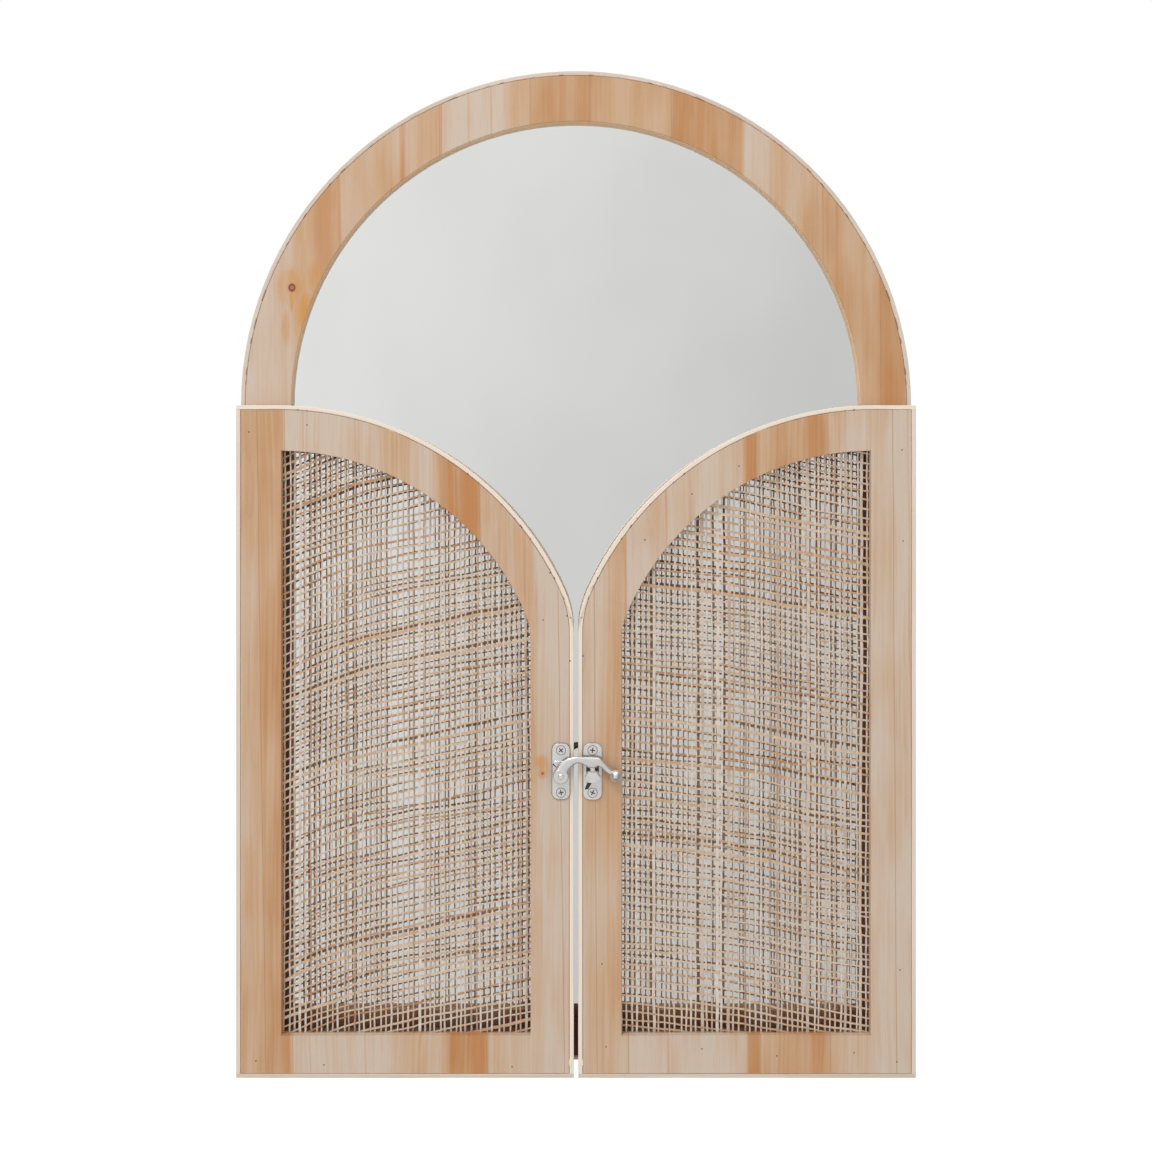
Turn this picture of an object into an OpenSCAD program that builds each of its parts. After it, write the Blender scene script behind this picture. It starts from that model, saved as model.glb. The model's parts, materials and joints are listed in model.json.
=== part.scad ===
// Arched wall mirror with two cane shutter doors and a swing latch.
// X runs to the right, Y away from the viewer and Z up. The wall is the plane y = 0
// and the origin is the centre of the arch on the wall.

/* [Frame] */
// Width of the arched frame
frame_w = 400; // [340:1:520]
// Straight height of the frame below the centre of the arch
side_h = 390; // [330:1:600]
// Depth of the frame from the wall to its front face
frame_d = 20; // [18:0.5:30]
// Width of the wooden band round the mirror, edging included
band_w = 30; // [27:0.5:45]
// Thickness of the frame's front panel
face_t = 5; // [4:0.1:7]
// Thickness of the edging strips of the frame and the doors
edging_t = 2.5; // [1.5:0.1:3.5]
// Glue line between an edging strip and the panel it wraps
glue_gap = 0.2; // [0.1:0.05:0.4]

/* [Mirror] */
// Width of the step that the mirror rests in
rebate_w = 7; // [5:0.5:9]
// Play round the mirror and its backing board in the rebate
glass_play = 1; // [0.5:0.1:2]
// Thickness of the mirror glass
glass_t = 3; // [2:0.5:4]
// Thickness of the backing board
back_t = 3; // [2:0.5:4]
// Length of a retaining tab
tab_l = 14; // [10:0.5:18]
// Width of a retaining tab
tab_w = 6; // [4:0.5:10]
// Thickness of a retaining tab
tab_t = 0.5; // [0.3:0.1:1]
// Depth that a retaining tab is driven into the wood
tab_drive = 5; // [3:0.5:6]

/* [Hangers] */
// Width of a keyhole hanger plate
hanger_w = 15; // [13:0.5:16]
// Length of a keyhole hanger plate
hanger_l = 42; // [36:1:60]
// Thickness of a keyhole hanger plate
hanger_t = 1.2; // [0.8:0.1:2]
// Radius of the keyhole's round entry
entry_r = 4.5; // [3.5:0.1:5]
// Width of the keyhole's slot
slot_w = 4.4; // [3:0.1:5]
// Length of the keyhole's slot from the centre of the entry to its end
slot_l = 10; // [8:0.5:12]
// Depth of the pocket behind the hanger plate
pocket_d = 9; // [6:0.5:12]

/* [Doors] */
// Gap between the two doors
door_gap = 2.6; // [1.5:0.1:4]
// Distance that a door stays inside the side of the frame
door_side_in = 0.8; // [0.4:0.1:1.2]
// Distance from the centre of the arch down to the top of a door
door_drop = 0.5; // [0:0.5:20]
// Length that a door hangs below the frame
door_overhang = 4.7; // [0:0.1:15]
// Thickness of a door
door_t = 12; // [10:0.5:18]
// Space between the frame and the doors
door_stand = 2; // [1.8:0.1:4]
// Thickness of a door's front panel
door_face_t = 4.5; // [3.5:0.1:6]
// Flat length of the door's top beside the hinge
top_flat = 25; // [15:1:40]
// Distance that the top's arc would run past the inner edge
arc_over = 10.7; // [6:0.1:30]
// Radius that joins the arc to the inner edge
corner_r = 58.6; // [45:0.1:70]
// Width of the stile beside the hinges
hinge_stile_w = 26.4; // [22:0.1:35]
// Width of the stile beside the gap
inner_stile_w = 25.3; // [22:0.1:35]
// Width of the curved rail
curve_rail_w = 26.6; // [22:0.1:35]
// Width of the bottom rail
bottom_rail_w = 25; // [20:0.1:35]

/* [Cane] */
// Thickness of the cane panel, two crossing layers of strands
cane_t = 1.4; // [1:0.1:2]
// Width of the cane's border that the door clamps
cane_border = 7; // [5:0.5:10]
// Distance between upright strands
strand_step_x = 10.8; // [9:0.1:20]
// Distance between level strands
strand_step_z = 15.6; // [12:0.1:25]
// Width of a strand
strand_w = 2.4; // [1.5:0.1:4]

/* [Hinges] */
// Height of a butt hinge
hinge_h = 25; // [20:1:40]
// Width of a hinge leaf beside its barrel
leaf_w = 11; // [9:0.5:14]
// Thickness of a hinge leaf
leaf_t = 0.8; // [0.6:0.1:0.9]
// Outer radius of the hinge barrel
barrel_r = 1.55; // [1.4:0.05:1.8]
// Radius of the hinge pin
pin_r = 0.75; // [0.6:0.05:0.85]
// Distance that the hinge axis lies outside the side of the frame
axis_out = 0.9; // [0.6:0.1:1.5]
// Distance from a door's end to the middle of its hinge
hinge_in = 55; // [40:1:90]
// Distance between the two screws of a leaf
leaf_screw_step = 14; // [10:0.5:18]
// Length of a hinge screw
leaf_screw_l = 5; // [3.5:0.1:5.5]

/* [Latch] */
// Height of the latch pivot below the centre of the arch
latch_z = 217; // [150:1:300]
// Distance from the middle of the gap to the latch pivot
pivot_in = 8.8; // [8:0.1:10]
// Distance from the middle of the gap to the middle of the keeper
keeper_in = 9.7; // [9:0.1:11]
// Width of the two latch plates
plate_w = 10.8; // [10:0.1:12]
// Length of the two latch plates
plate_l = 33; // [31:0.5:38]
// Thickness of the two latch plates
plate_t = 0.9; // [0.7:0.1:1.2]
// Distance from the middle of a plate to each of its screws
plate_screw_in = 12.4; // [12:0.1:13.5]
// Radius of the arm's round pivot end
hub_r = 4.5; // [4:0.1:5]
// Thickness of the arm at its pivot end
hub_t = 3; // [2.5:0.1:4]
// Height of the pivot seat that is stamped out of the plate
seat_t = 2.1; // [1.8:0.1:3]
// Radius of the rivet that the arm turns on
rivet_r = 1.2; // [1:0.1:1.5]
// Radius of the ball at the end of the arm
ball_r = 3.6; // [3:0.1:4]
// Half height of the arm over the keeper, where its lower edge bulges down
catch_r = 3.4; // [3:0.1:3.8]

/* [Fits] */
// Radial play of a pin or a rivet in its bore
run_play = 0.03; // [0.02:0.01:0.08]
// Play between a knuckle and its neighbour, and between an arm and its keeper
side_play = 0.35; // [0.2:0.05:0.5]
// Radial play of a screw in its pilot hole
screw_play = 0.02; // [0.01:0.01:0.05]

/* [Hidden] */
$fn = 64;

// Colours
wood_tone = "burlywood";
face_tone = "tan";
edging_tone = "antiquewhite";
cane_tone = "peachpuff";
steel_tone = "silver";
brass_tone = "darkkhaki";

// Distances from the wall
face_back = frame_d - face_t;
glass_back = face_back - glass_t;
board_back = glass_back - back_t;
door_back = frame_d + door_stand;
door_front = door_back + door_t;
face_joint = door_front - door_face_t;
hinge_y = frame_d + door_stand / 2;
plate_front = door_front + plate_t;
seat_front = plate_front + seat_t;
arm_front = seat_front + hub_t;
arm_mid = seat_front + hub_t / 2;

// Distances across and up
panel_in = edging_t + glue_gap;
door_x = frame_w / 2 - door_side_in;
door_in_x = door_gap / 2;
door_top = -door_drop;
door_base = -side_h - door_overhang;
hinge_x = frame_w / 2 + axis_out;
top_hinge_z = door_top - hinge_in;
low_hinge_z = door_base + hinge_in;
arc_x = door_x - top_flat;
arc_r = arc_x - door_in_x + arc_over;
arc_z = door_top - arc_r;
arc_step = 0.04;

// Hinges
barrel_relief = barrel_r + side_play;
leaf_edge = barrel_r + side_play;
leaf_root = barrel_r * 0.65;
knuckle_h = hinge_h / 3;
knuckle_gap = side_play / 2;
pin_head_t = 0.5;
pin_head_r = pin_r + 0.45;

// Screws: head radius, shank radius
leaf_head_r = 1.7;
leaf_shank_r = 0.9;
plate_head_r = 2.6;
plate_shank_r = 1.2;
plate_screw_l = 10;
hanger_head_r = 2.7;
hanger_shank_r = 1.3;
hanger_screw_l = 12;
head_lip = 0.15;

// Hangers
hanger_x = frame_w / 2 - panel_in - (band_w - panel_in - rebate_w) / 2;
hanger_screw_in = hanger_l / 2 - 4.5;
pocket_play = 1.5;

// Latch
plate_z = -latch_z + 2.1;
plate_corner = 3.9;
dish_d = 0.25;
dish_r = plate_head_r + 0.3;
field_h = 0.5;
field_r = plate_w / 2 - 0.45;
field_up = 8.4;
field_corner = 2.5;
rivet_head_r = rivet_r + 0.4;
rivet_head_t = 0.3;
hub_play = 0.15;
latch_reach = pivot_in + keeper_in;
arm_top = 11.4;
pad_w = 2.6;
pad_t = 2.2;

// The keeper's head, with heights from the pivot's level
head_w = 9;
head_top_w = 4.7;
head_up = 2.6;
head_shoulder = -1.2;
head_down = -3.7;
chin_r = 5.7;
head_t = 1.3;
lug_t = 1;
lug_rim = 0.5;
stem_w = 4.2;
press_d = 0.75;
window_w = 7.4;
window_up = 5.4;

// The arm's centre line from the pivot: across, up, half width, half thickness
arm_line = [
  [0, 0, 4.3, 1.35],
  [1.5, 4.6, 3.4, 1.4],
  [4.6, 7.7, 2.75, 1.4],
  [8.4, 9.4, 2.1, 1.4],
  [11, 9.5, 1.85, 1.4],
  [13.6, 9.1, 2.3, 1.4],
  [latch_reach - 0.6, arm_top - catch_r, catch_r, 1.4],
  [21.6, 8.3, 2.6, 1.4],
  [24.6, 6.5, 1.75, 1.35],
  [27.2, 3.9, 1.55, 1.3],
  [29.5, 2, 1.35, 1.25],
  [32, 0.3, 1.5, 1.25]
];
arm_sides = 16;
arm_squareness = 0.6;
arm_rings_per_span = 3;

// ---------------------------------------------------------------- shared shapes

// A flat shape drawn in X and Z, from one distance from the wall to another
module slab(near, front) {
  translate([0, -near, 0])
    rotate([90, 0, 0])
      linear_extrude(front - near)
        children();
}

// A round bar square to the wall
module bar(x, z, near, far, r1, r2) {
  translate([x, -near, z])
    rotate([90, 0, 0])
      cylinder(h = far - near, r1 = r1, r2 = r2);
}

// The right door's shapes, or the same ones mirrored for the left door
module on_side(side) {
  mirror([side < 0 ? 1 : 0, 0, 0])
    children();
}

// The frame's outline, drawn in by a distance
module arch_2d(in) {
  r = frame_w / 2 - in;
  circle(r = r, $fn = 180);
  translate([-r, -side_h + in])
    square([2 * r, side_h - in]);
}

// The right door's outline, with each side drawn in by its own distance. The arc ends on
// the line from its centre to the blend's, where it stands arc_step proud of the blend.
module door_2d(hinge_by, curve_by, inner_by, base_by) {
  hinge_edge = door_x - hinge_by;
  inner_edge = door_in_x + inner_by;
  low_edge = door_base + base_by;
  big = arc_r - curve_by;
  blend = corner_r - inner_by;
  blend_x = inner_edge + blend;
  reach = big - blend - arc_step;
  rise = sqrt(reach * reach - (arc_x - blend_x) * (arc_x - blend_x));
  far = 2 * big;
  translate([inner_edge, low_edge])
    square([hinge_edge - inner_edge, arc_z + rise - low_edge]);
  translate([blend_x, arc_z + rise])
    circle(r = blend, $fn = 120);
  intersection() {
    translate([arc_x, arc_z])
      circle(r = big, $fn = 240);
    translate([arc_x, arc_z])
      polygon([[0, 0], [far * (blend_x - arc_x) / reach, far * rise / reach],
        [far * (blend_x - arc_x) / reach, far], [hinge_edge - arc_x, far],
        [hinge_edge - arc_x, 0]]);
  }
  if (hinge_edge > arc_x)
    translate([arc_x, low_edge])
      square([hinge_edge - arc_x, arc_z + big - low_edge]);
}

module door_panel_2d() {
  door_2d(panel_in, panel_in, panel_in, panel_in);
}

// The door's opening, made wider all round by a distance
module door_opening_2d(wider) {
  door_2d(
    hinge_stile_w - wider,
    curve_rail_w - wider,
    inner_stile_w - wider,
    bottom_rail_w - wider
  );
}

// A countersunk screw with a cross recess; its head is flush with the distance "face"
// and its shank runs towards the wall, or away from it
module screw(x, z, face, length, head_r, shank_r, to_wall, turn) {
  cone = head_r - shank_r;
  dir = to_wall ? 1 : -1;
  translate([x, -face, z])
    rotate([-90 * dir, 0, 0])
      difference() {
        union() {
          cylinder(h = head_lip, r = head_r);
          translate([0, 0, head_lip])
            cylinder(h = cone, r1 = head_r, r2 = shank_r);
          translate([0, 0, head_lip + cone])
            cylinder(h = length - head_lip - cone - shank_r, r = shank_r);
          translate([0, 0, length - shank_r])
            cylinder(h = shank_r, r1 = shank_r, r2 = shank_r * 0.2);
        }
        rotate([0, 0, turn])
          for (a = [0, 90])
            rotate([0, 0, a])
              translate([-head_r * 0.6, -head_r * 0.12, -head_lip])
                cube([head_r * 1.2, head_r * 0.24, head_lip + cone * 0.75]);
      }
}

// The hole that such a screw sits in
module screw_hole(x, z, face, length, head_r, shank_r, to_wall) {
  cone = head_r - shank_r;
  dir = to_wall ? 1 : -1;
  over = 1;
  translate([x, -face, z])
    rotate([-90 * dir, 0, 0]) {
      translate([0, 0, -over])
        cylinder(h = over + head_lip + screw_play, r = head_r + screw_play);
      translate([0, 0, head_lip + screw_play])
        cylinder(h = cone, r1 = head_r + screw_play, r2 = shank_r + screw_play);
      translate([0, 0, head_lip])
        cylinder(h = length - head_lip + screw_play, r = shank_r + screw_play);
    }
}

// ---------------------------------------------------------------- frame

module frame_face() {
  color(face_tone)
    difference() {
      slab(face_back, frame_d)
        difference() {
          arch_2d(panel_in);
          arch_2d(band_w);
        }
      frame_hinge_holes();
    }
}

module frame_core() {
  color(wood_tone)
    difference() {
      slab(0, face_back)
        difference() {
          arch_2d(panel_in);
          arch_2d(band_w - rebate_w);
        }
      tab_slots();
      for (side = [-1, 1])
        on_side(side)
          hanger_pocket();
    }
}

module frame_arch_edging() {
  color(edging_tone)
    difference() {
      slab(0, frame_d)
        difference() {
          arch_2d(0);
          arch_2d(edging_t);
          translate([-frame_w, -side_h - edging_t])
            square([2 * frame_w, 2 * edging_t]);
        }
      barrel_reliefs();
    }
}

module frame_base_edging() {
  color(edging_tone)
    slab(0, frame_d)
      translate([-frame_w / 2, -side_h])
        square([frame_w, edging_t]);
}

module mirror_glass() {
  color("lightblue")
    slab(glass_back, face_back)
      arch_2d(band_w - rebate_w + glass_play);
}

module backing_board() {
  color("peru")
    slab(board_back, glass_back)
      arch_2d(band_w - rebate_w + glass_play);
}

// ---------------------------------------------------------------- retaining tabs

tab_angles = [30, 60, 90, 120, 150];
tab_heights = [0.18, 0.5, 0.82];
tab_r = frame_w / 2 - band_w + rebate_w;
tab_base_z = -side_h + band_w - rebate_w;

// One flat tab that points to the left, with its tip driven in beyond x = 0
module tab_2d(grow) {
  translate([-tab_l + tab_drive, -tab_w / 2 - grow])
    square([tab_l + grow, tab_w + 2 * grow]);
}

module tab_layout(grow) {
  for (a = tab_angles)
    rotate(a)
      translate([tab_r, 0])
        tab_2d(grow);
  for (side = [0, 180])
    for (h = tab_heights)
      translate([side == 0 ? tab_r : -tab_r, h * tab_base_z])
        rotate(side)
          tab_2d(grow);
  for (x = [-0.6, 0, 0.6])
    translate([x * tab_r, tab_base_z])
      rotate(-90)
        tab_2d(grow);
}

module retaining_tabs() {
  color(steel_tone)
    slab(board_back - tab_t, board_back)
      tab_layout(0);
}

module tab_slots() {
  slab(board_back - tab_t, board_back)
    tab_layout(glue_gap / 2);
}

// ---------------------------------------------------------------- hangers

module hanger_2d() {
  translate([hanger_x - hanger_w / 2, -hanger_l / 2])
    square([hanger_w, hanger_l]);
}

// Recess for the plate and the deeper pocket for the wall screw's head
module hanger_pocket() {
  slab(-1, hanger_t)
    translate([hanger_x - hanger_w / 2 - glue_gap / 2, -hanger_l / 2 - glue_gap / 2])
      square([hanger_w + glue_gap, hanger_l + glue_gap]);
  slab(0, pocket_d)
    union() {
      translate([hanger_x, 0])
        circle(r = entry_r + pocket_play);
      translate([hanger_x - entry_r, 0])
        square([2 * entry_r, slot_l]);
      translate([hanger_x, slot_l])
        circle(r = entry_r);
    }
  for (z = [-hanger_screw_in, hanger_screw_in])
    screw_hole(hanger_x, z, 0, hanger_screw_l, hanger_head_r, hanger_shank_r, false);
}

module hanger_plate() {
  color(brass_tone)
    difference() {
      slab(0, hanger_t)
        difference() {
          hanger_2d();
          translate([hanger_x, 0])
            circle(r = entry_r);
          translate([hanger_x - slot_w / 2, 0])
            square([slot_w, slot_l]);
          translate([hanger_x, slot_l])
            circle(d = slot_w);
        }
      for (z = [-hanger_screw_in, hanger_screw_in])
        screw_hole(hanger_x, z, 0, hanger_screw_l, hanger_head_r, hanger_shank_r, false);
    }
}

module left_hanger_plate() {
  on_side(-1)
    hanger_plate();
}

module right_hanger_plate() {
  on_side(1)
    hanger_plate();
}

module hanger_screws() {
  color(brass_tone)
    for (side = [-1, 1])
      on_side(side)
        for (z = [-hanger_screw_in, hanger_screw_in])
          screw(hanger_x, z, 0, hanger_screw_l, hanger_head_r, hanger_shank_r, false, 30);
}

// ---------------------------------------------------------------- hinges

leaf_screw_x = hinge_x - leaf_edge - leaf_w * 0.55;

module barrel_reliefs() {
  for (side = [-1, 1])
    on_side(side)
      for (z = [top_hinge_z, low_hinge_z])
        translate([hinge_x, -hinge_y, z - hinge_h / 2 - side_play - pin_head_t])
          cylinder(h = hinge_h + 2 * side_play + 2 * pin_head_t, r = barrel_relief);
}

// Knuckles of a leaf, as [height of the lower end, length] from the hinge's lower end
function knuckles(of_door) =
  of_door
    ? [[knuckle_h + knuckle_gap / 2, knuckle_h - knuckle_gap]]
    : [[0, knuckle_h - knuckle_gap / 2], [2 * knuckle_h + knuckle_gap / 2, knuckle_h - knuckle_gap / 2]];

// A leaf lies from one distance from the wall to another, beside the barrel
module hinge_leaf(z, near, far, of_door) {
  face = of_door ? near : far;
  color(steel_tone)
    difference() {
      union() {
        translate([hinge_x - leaf_edge - leaf_w, -far, z - hinge_h / 2])
          cube([leaf_w, far - near, hinge_h]);
        for (k = knuckles(of_door)) {
          translate([hinge_x - leaf_edge - 0.1, -far, z - hinge_h / 2 + k[0]])
            cube([leaf_edge + 0.1 - leaf_root, far - near, k[1]]);
          translate([hinge_x, -hinge_y, z - hinge_h / 2 + k[0]])
            cylinder(h = k[1], r = barrel_r);
        }
      }
      translate([hinge_x, -hinge_y, z - hinge_h / 2 - 1])
        cylinder(h = hinge_h + 2, r = pin_r + run_play);
      for (s = [-1, 1])
        screw_hole(leaf_screw_x, z + s * leaf_screw_step / 2, face, leaf_screw_l, leaf_head_r, leaf_shank_r, !of_door);
    }
}

module frame_leaf(z) {
  hinge_leaf(z, frame_d, frame_d + leaf_t, false);
}

module door_leaf(z) {
  hinge_leaf(z, door_back - leaf_t, door_back, true);
}

module hinge_pin(z) {
  color(steel_tone)
    translate([hinge_x, -hinge_y, z - hinge_h / 2]) {
      translate([0, 0, -pin_head_t])
        cylinder(h = pin_head_t, r = pin_head_r);
      translate([0, 0, -pin_head_t / 2])
        cylinder(h = hinge_h + pin_head_t, r = pin_r);
      translate([0, 0, hinge_h])
        cylinder(h = pin_head_t, r = pin_head_r);
    }
}

module left_top_hinge_frame_leaf() {
  on_side(-1)
    frame_leaf(top_hinge_z);
}

module left_top_hinge_door_leaf() {
  on_side(-1)
    door_leaf(top_hinge_z);
}

module left_top_hinge_pin() {
  on_side(-1)
    hinge_pin(top_hinge_z);
}

module left_low_hinge_frame_leaf() {
  on_side(-1)
    frame_leaf(low_hinge_z);
}

module left_low_hinge_door_leaf() {
  on_side(-1)
    door_leaf(low_hinge_z);
}

module left_low_hinge_pin() {
  on_side(-1)
    hinge_pin(low_hinge_z);
}

module right_top_hinge_frame_leaf() {
  on_side(1)
    frame_leaf(top_hinge_z);
}

module right_top_hinge_door_leaf() {
  on_side(1)
    door_leaf(top_hinge_z);
}

module right_top_hinge_pin() {
  on_side(1)
    hinge_pin(top_hinge_z);
}

module right_low_hinge_frame_leaf() {
  on_side(1)
    frame_leaf(low_hinge_z);
}

module right_low_hinge_door_leaf() {
  on_side(1)
    door_leaf(low_hinge_z);
}

module right_low_hinge_pin() {
  on_side(1)
    hinge_pin(low_hinge_z);
}

// The heads of the frame's hinge screws face the doors, those of the doors face the frame
module frame_hinge_screws() {
  color(steel_tone)
    for (side = [-1, 1])
      on_side(side)
        for (z = [top_hinge_z, low_hinge_z])
          for (s = [-1, 1])
            screw(leaf_screw_x, z + s * leaf_screw_step / 2, frame_d + leaf_t,
              leaf_screw_l, leaf_head_r, leaf_shank_r, true, 20);
}

module frame_hinge_holes() {
  for (side = [-1, 1])
    on_side(side)
      for (z = [top_hinge_z, low_hinge_z])
        for (s = [-1, 1])
          screw_hole(leaf_screw_x, z + s * leaf_screw_step / 2, frame_d + leaf_t,
            leaf_screw_l, leaf_head_r, leaf_shank_r, true);
}

module door_hinge_screws() {
  color(steel_tone)
    for (z = [top_hinge_z, low_hinge_z])
      for (s = [-1, 1])
        screw(leaf_screw_x, z + s * leaf_screw_step / 2, door_back - leaf_t,
          leaf_screw_l, leaf_head_r, leaf_shank_r, false, 20);
}

module door_hinge_holes() {
  for (z = [top_hinge_z, low_hinge_z])
    for (s = [-1, 1])
      screw_hole(leaf_screw_x, z + s * leaf_screw_step / 2, door_back - leaf_t,
        leaf_screw_l, leaf_head_r, leaf_shank_r, false);
}

module left_door_hinge_screws() {
  on_side(-1)
    door_hinge_screws();
}

module right_door_hinge_screws() {
  on_side(1)
    door_hinge_screws();
}

// ---------------------------------------------------------------- doors

module door_face(screw_x) {
  color(face_tone)
    difference() {
      slab(face_joint, door_front)
        difference() {
          door_panel_2d();
          door_opening_2d(0);
        }
      latch_screw_holes(screw_x);
    }
}

module door_backer(screw_x) {
  color(wood_tone)
    difference() {
      slab(door_back, face_joint)
        difference() {
          door_panel_2d();
          door_opening_2d(0);
        }
      slab(face_joint - cane_t, face_joint + 1)
        door_opening_2d(cane_border);
      latch_screw_holes(screw_x);
      door_hinge_holes();
    }
}

// The bent strip over the top, the curve and down the inner edge
module door_curved_edging() {
  color(edging_tone)
    slab(door_back, door_front)
      difference() {
        door_2d(0, 0, 0, edging_t);
        door_2d(-1, edging_t, edging_t, -1);
      }
}

module door_side_edging() {
  color(edging_tone)
    difference() {
      slab(door_back, door_front)
        translate([door_x - edging_t, door_base + edging_t])
          square([edging_t, door_top - edging_t - door_base - edging_t]);
      barrel_reliefs();
    }
}

module door_base_edging() {
  color(edging_tone)
    slab(door_back, door_front)
      translate([door_in_x, door_base])
        square([door_x - door_in_x, edging_t]);
}

// The clamped border and two crossing layers of strands
module cane_panel() {
  span_x = door_x - door_in_x;
  span_z = door_top - door_base;
  layer = cane_t / 2;
  color(cane_tone) {
    slab(face_joint - cane_t, face_joint)
      difference() {
        door_opening_2d(cane_border - glue_gap);
        door_opening_2d(0);
      }
    slab(face_joint - layer, face_joint)
      intersection() {
        door_opening_2d(0.5);
        for (x = [door_in_x + inner_stile_w + strand_step_x / 2 : strand_step_x : door_x - hinge_stile_w])
          translate([x - strand_w / 2, door_base])
            square([strand_w, span_z]);
      }
    slab(face_joint - cane_t, face_joint - layer)
      intersection() {
        door_opening_2d(0.5);
        for (z = [door_base + bottom_rail_w + strand_step_z / 2 : strand_step_z : door_top])
          translate([door_in_x, z - strand_w / 2])
            square([span_x, strand_w]);
      }
  }
}

module left_door_face() {
  on_side(-1)
    door_face(pivot_in);
}

module left_door_backer() {
  on_side(-1)
    door_backer(pivot_in);
}

module left_door_curved_edging() {
  on_side(-1)
    door_curved_edging();
}

module left_door_side_edging() {
  on_side(-1)
    door_side_edging();
}

module left_door_base_edging() {
  on_side(-1)
    door_base_edging();
}

module left_cane_panel() {
  on_side(-1)
    cane_panel();
}

module right_door_face() {
  on_side(1)
    door_face(keeper_in);
}

module right_door_backer() {
  on_side(1)
    door_backer(keeper_in);
}

module right_door_curved_edging() {
  on_side(1)
    door_curved_edging();
}

module right_door_side_edging() {
  on_side(1)
    door_side_edging();
}

module right_door_base_edging() {
  on_side(1)
    door_base_edging();
}

module right_cane_panel() {
  on_side(1)
    cane_panel();
}

// ---------------------------------------------------------------- latch

module latch_screw_holes(x) {
  for (s = [-1, 1]) {
    z = plate_z + s * plate_screw_in;
    screw_hole(x, z, plate_front, plate_screw_l, plate_head_r, plate_shank_r, true);
    bar(x, z, plate_front - dish_d, plate_front + 1, dish_r, dish_r);
  }
}

module latch_screws(x, turns) {
  color(steel_tone)
    for (s = [-1, 1])
      screw(x, plate_z + s * plate_screw_in, plate_front, plate_screw_l,
        plate_head_r, plate_shank_r, true, turns[(s + 1) / 2]);
}

// A plate with four round corners
module plate_2d(x) {
  w = plate_w / 2;
  h = plate_l / 2;
  translate([x - w, plate_z - h + plate_corner])
    square([plate_w, plate_l - 2 * plate_corner]);
  translate([x - w + plate_corner, plate_z - h])
    square([plate_w - 2 * plate_corner, plate_l]);
  for (i = [-1, 1])
    for (j = [-1, 1])
      translate([x + i * (w - plate_corner), plate_z + j * (h - plate_corner)])
        circle(r = plate_corner);
}

// The raised field round the pivot, round below and with two round corners above
module field_2d() {
  translate([pivot_in, -latch_z]) {
    circle(r = field_r);
    translate([-field_r, 0])
      square([2 * field_r, field_up - field_corner]);
    translate([field_corner - field_r, 0])
      square([2 * (field_r - field_corner), field_up]);
    for (i = [-1, 1])
      translate([i * (field_r - field_corner), field_up - field_corner])
        circle(r = field_corner);
  }
}

module latch_pivot_plate() {
  color(steel_tone)
    on_side(-1)
      difference() {
        union() {
          slab(door_front, plate_front)
            plate_2d(pivot_in);
          slab(plate_front - plate_t / 2, plate_front + field_h)
            field_2d();
          bar(pivot_in, -latch_z, plate_front, seat_front - hub_play, hub_r, hub_r - 0.8);
        }
        bar(pivot_in, -latch_z, door_front - 1, arm_front, rivet_r + screw_play, rivet_r + screw_play);
        bar(pivot_in, -latch_z, door_front - 1, door_front + rivet_head_t + screw_play,
          rivet_head_r + screw_play, rivet_head_r + screw_play);
        latch_screw_holes(pivot_in);
      }
}

module latch_rivet() {
  color(steel_tone)
    on_side(-1) {
      bar(pivot_in, -latch_z, door_front, door_front + rivet_head_t, rivet_head_r, rivet_head_r);
      bar(pivot_in, -latch_z, door_front + rivet_head_t / 2, arm_front + hub_play + rivet_head_t / 2, rivet_r, rivet_r);
      bar(pivot_in, -latch_z, arm_front + hub_play, arm_front + hub_play + rivet_head_t, rivet_head_r, rivet_r);
    }
}

// A smooth curve through the listed places, with t from 0 to 1 along one span
function spline(a, b, c, d, t) =
  0.5 * (2 * b + (c - a) * t + (2 * a - 5 * b + 4 * c - d) * t * t + (3 * b - a - 3 * c + d) * t * t * t);

arm_places = [
  for (i = [0 : len(arm_line) - 2])
    for (k = [0 : arm_rings_per_span - 1])
      spline(arm_line[max(i - 1, 0)], arm_line[i], arm_line[i + 1],
        arm_line[min(i + 2, len(arm_line) - 1)], k / arm_rings_per_span),
  arm_line[len(arm_line) - 1]
];

// The direction of the arm's line at a ring
function heading(i) =
  let (
    a = arm_places[max(i - 1, 0)],
    b = arm_places[min(i + 1, len(arm_places) - 1)]
  )
  atan2(b[1] - a[1], b[0] - a[0]);

// A cosine or sine pushed outwards, which squares an oval's corners
function squared(v) = sign(v) * pow(abs(v), arm_squareness);

// The arm's loft: flattened rings square to its line, from the hub to the ball
module arm_loft() {
  n = len(arm_places);
  points = [
    for (i = [0 : n - 1])
      for (k = [0 : arm_sides - 1])
        let (
          p = arm_places[i],
          a = 360 * (k + 0.5) / arm_sides,
          w = p[2] * squared(cos(a)),
          h = heading(i)
        )
        [p[0] - w * sin(h), -arm_mid - p[3] * squared(sin(a)), p[1] + w * cos(h)]
  ];
  sides = [
    for (i = [0 : n - 2])
      for (k = [0 : arm_sides - 1])
        let (
          a = i * arm_sides + k,
          b = i * arm_sides + (k + 1) % arm_sides
        )
        each [
          [a, b + arm_sides, b],
          [a, a + arm_sides, b + arm_sides]
        ]
  ];
  first = [for (k = [0 : arm_sides - 1]) k];
  last = [for (k = [arm_sides - 1 : -1 : 0]) (n - 1) * arm_sides + k];
  polyhedron(points, concat(sides, [first, last]), convexity = 6);
}

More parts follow.
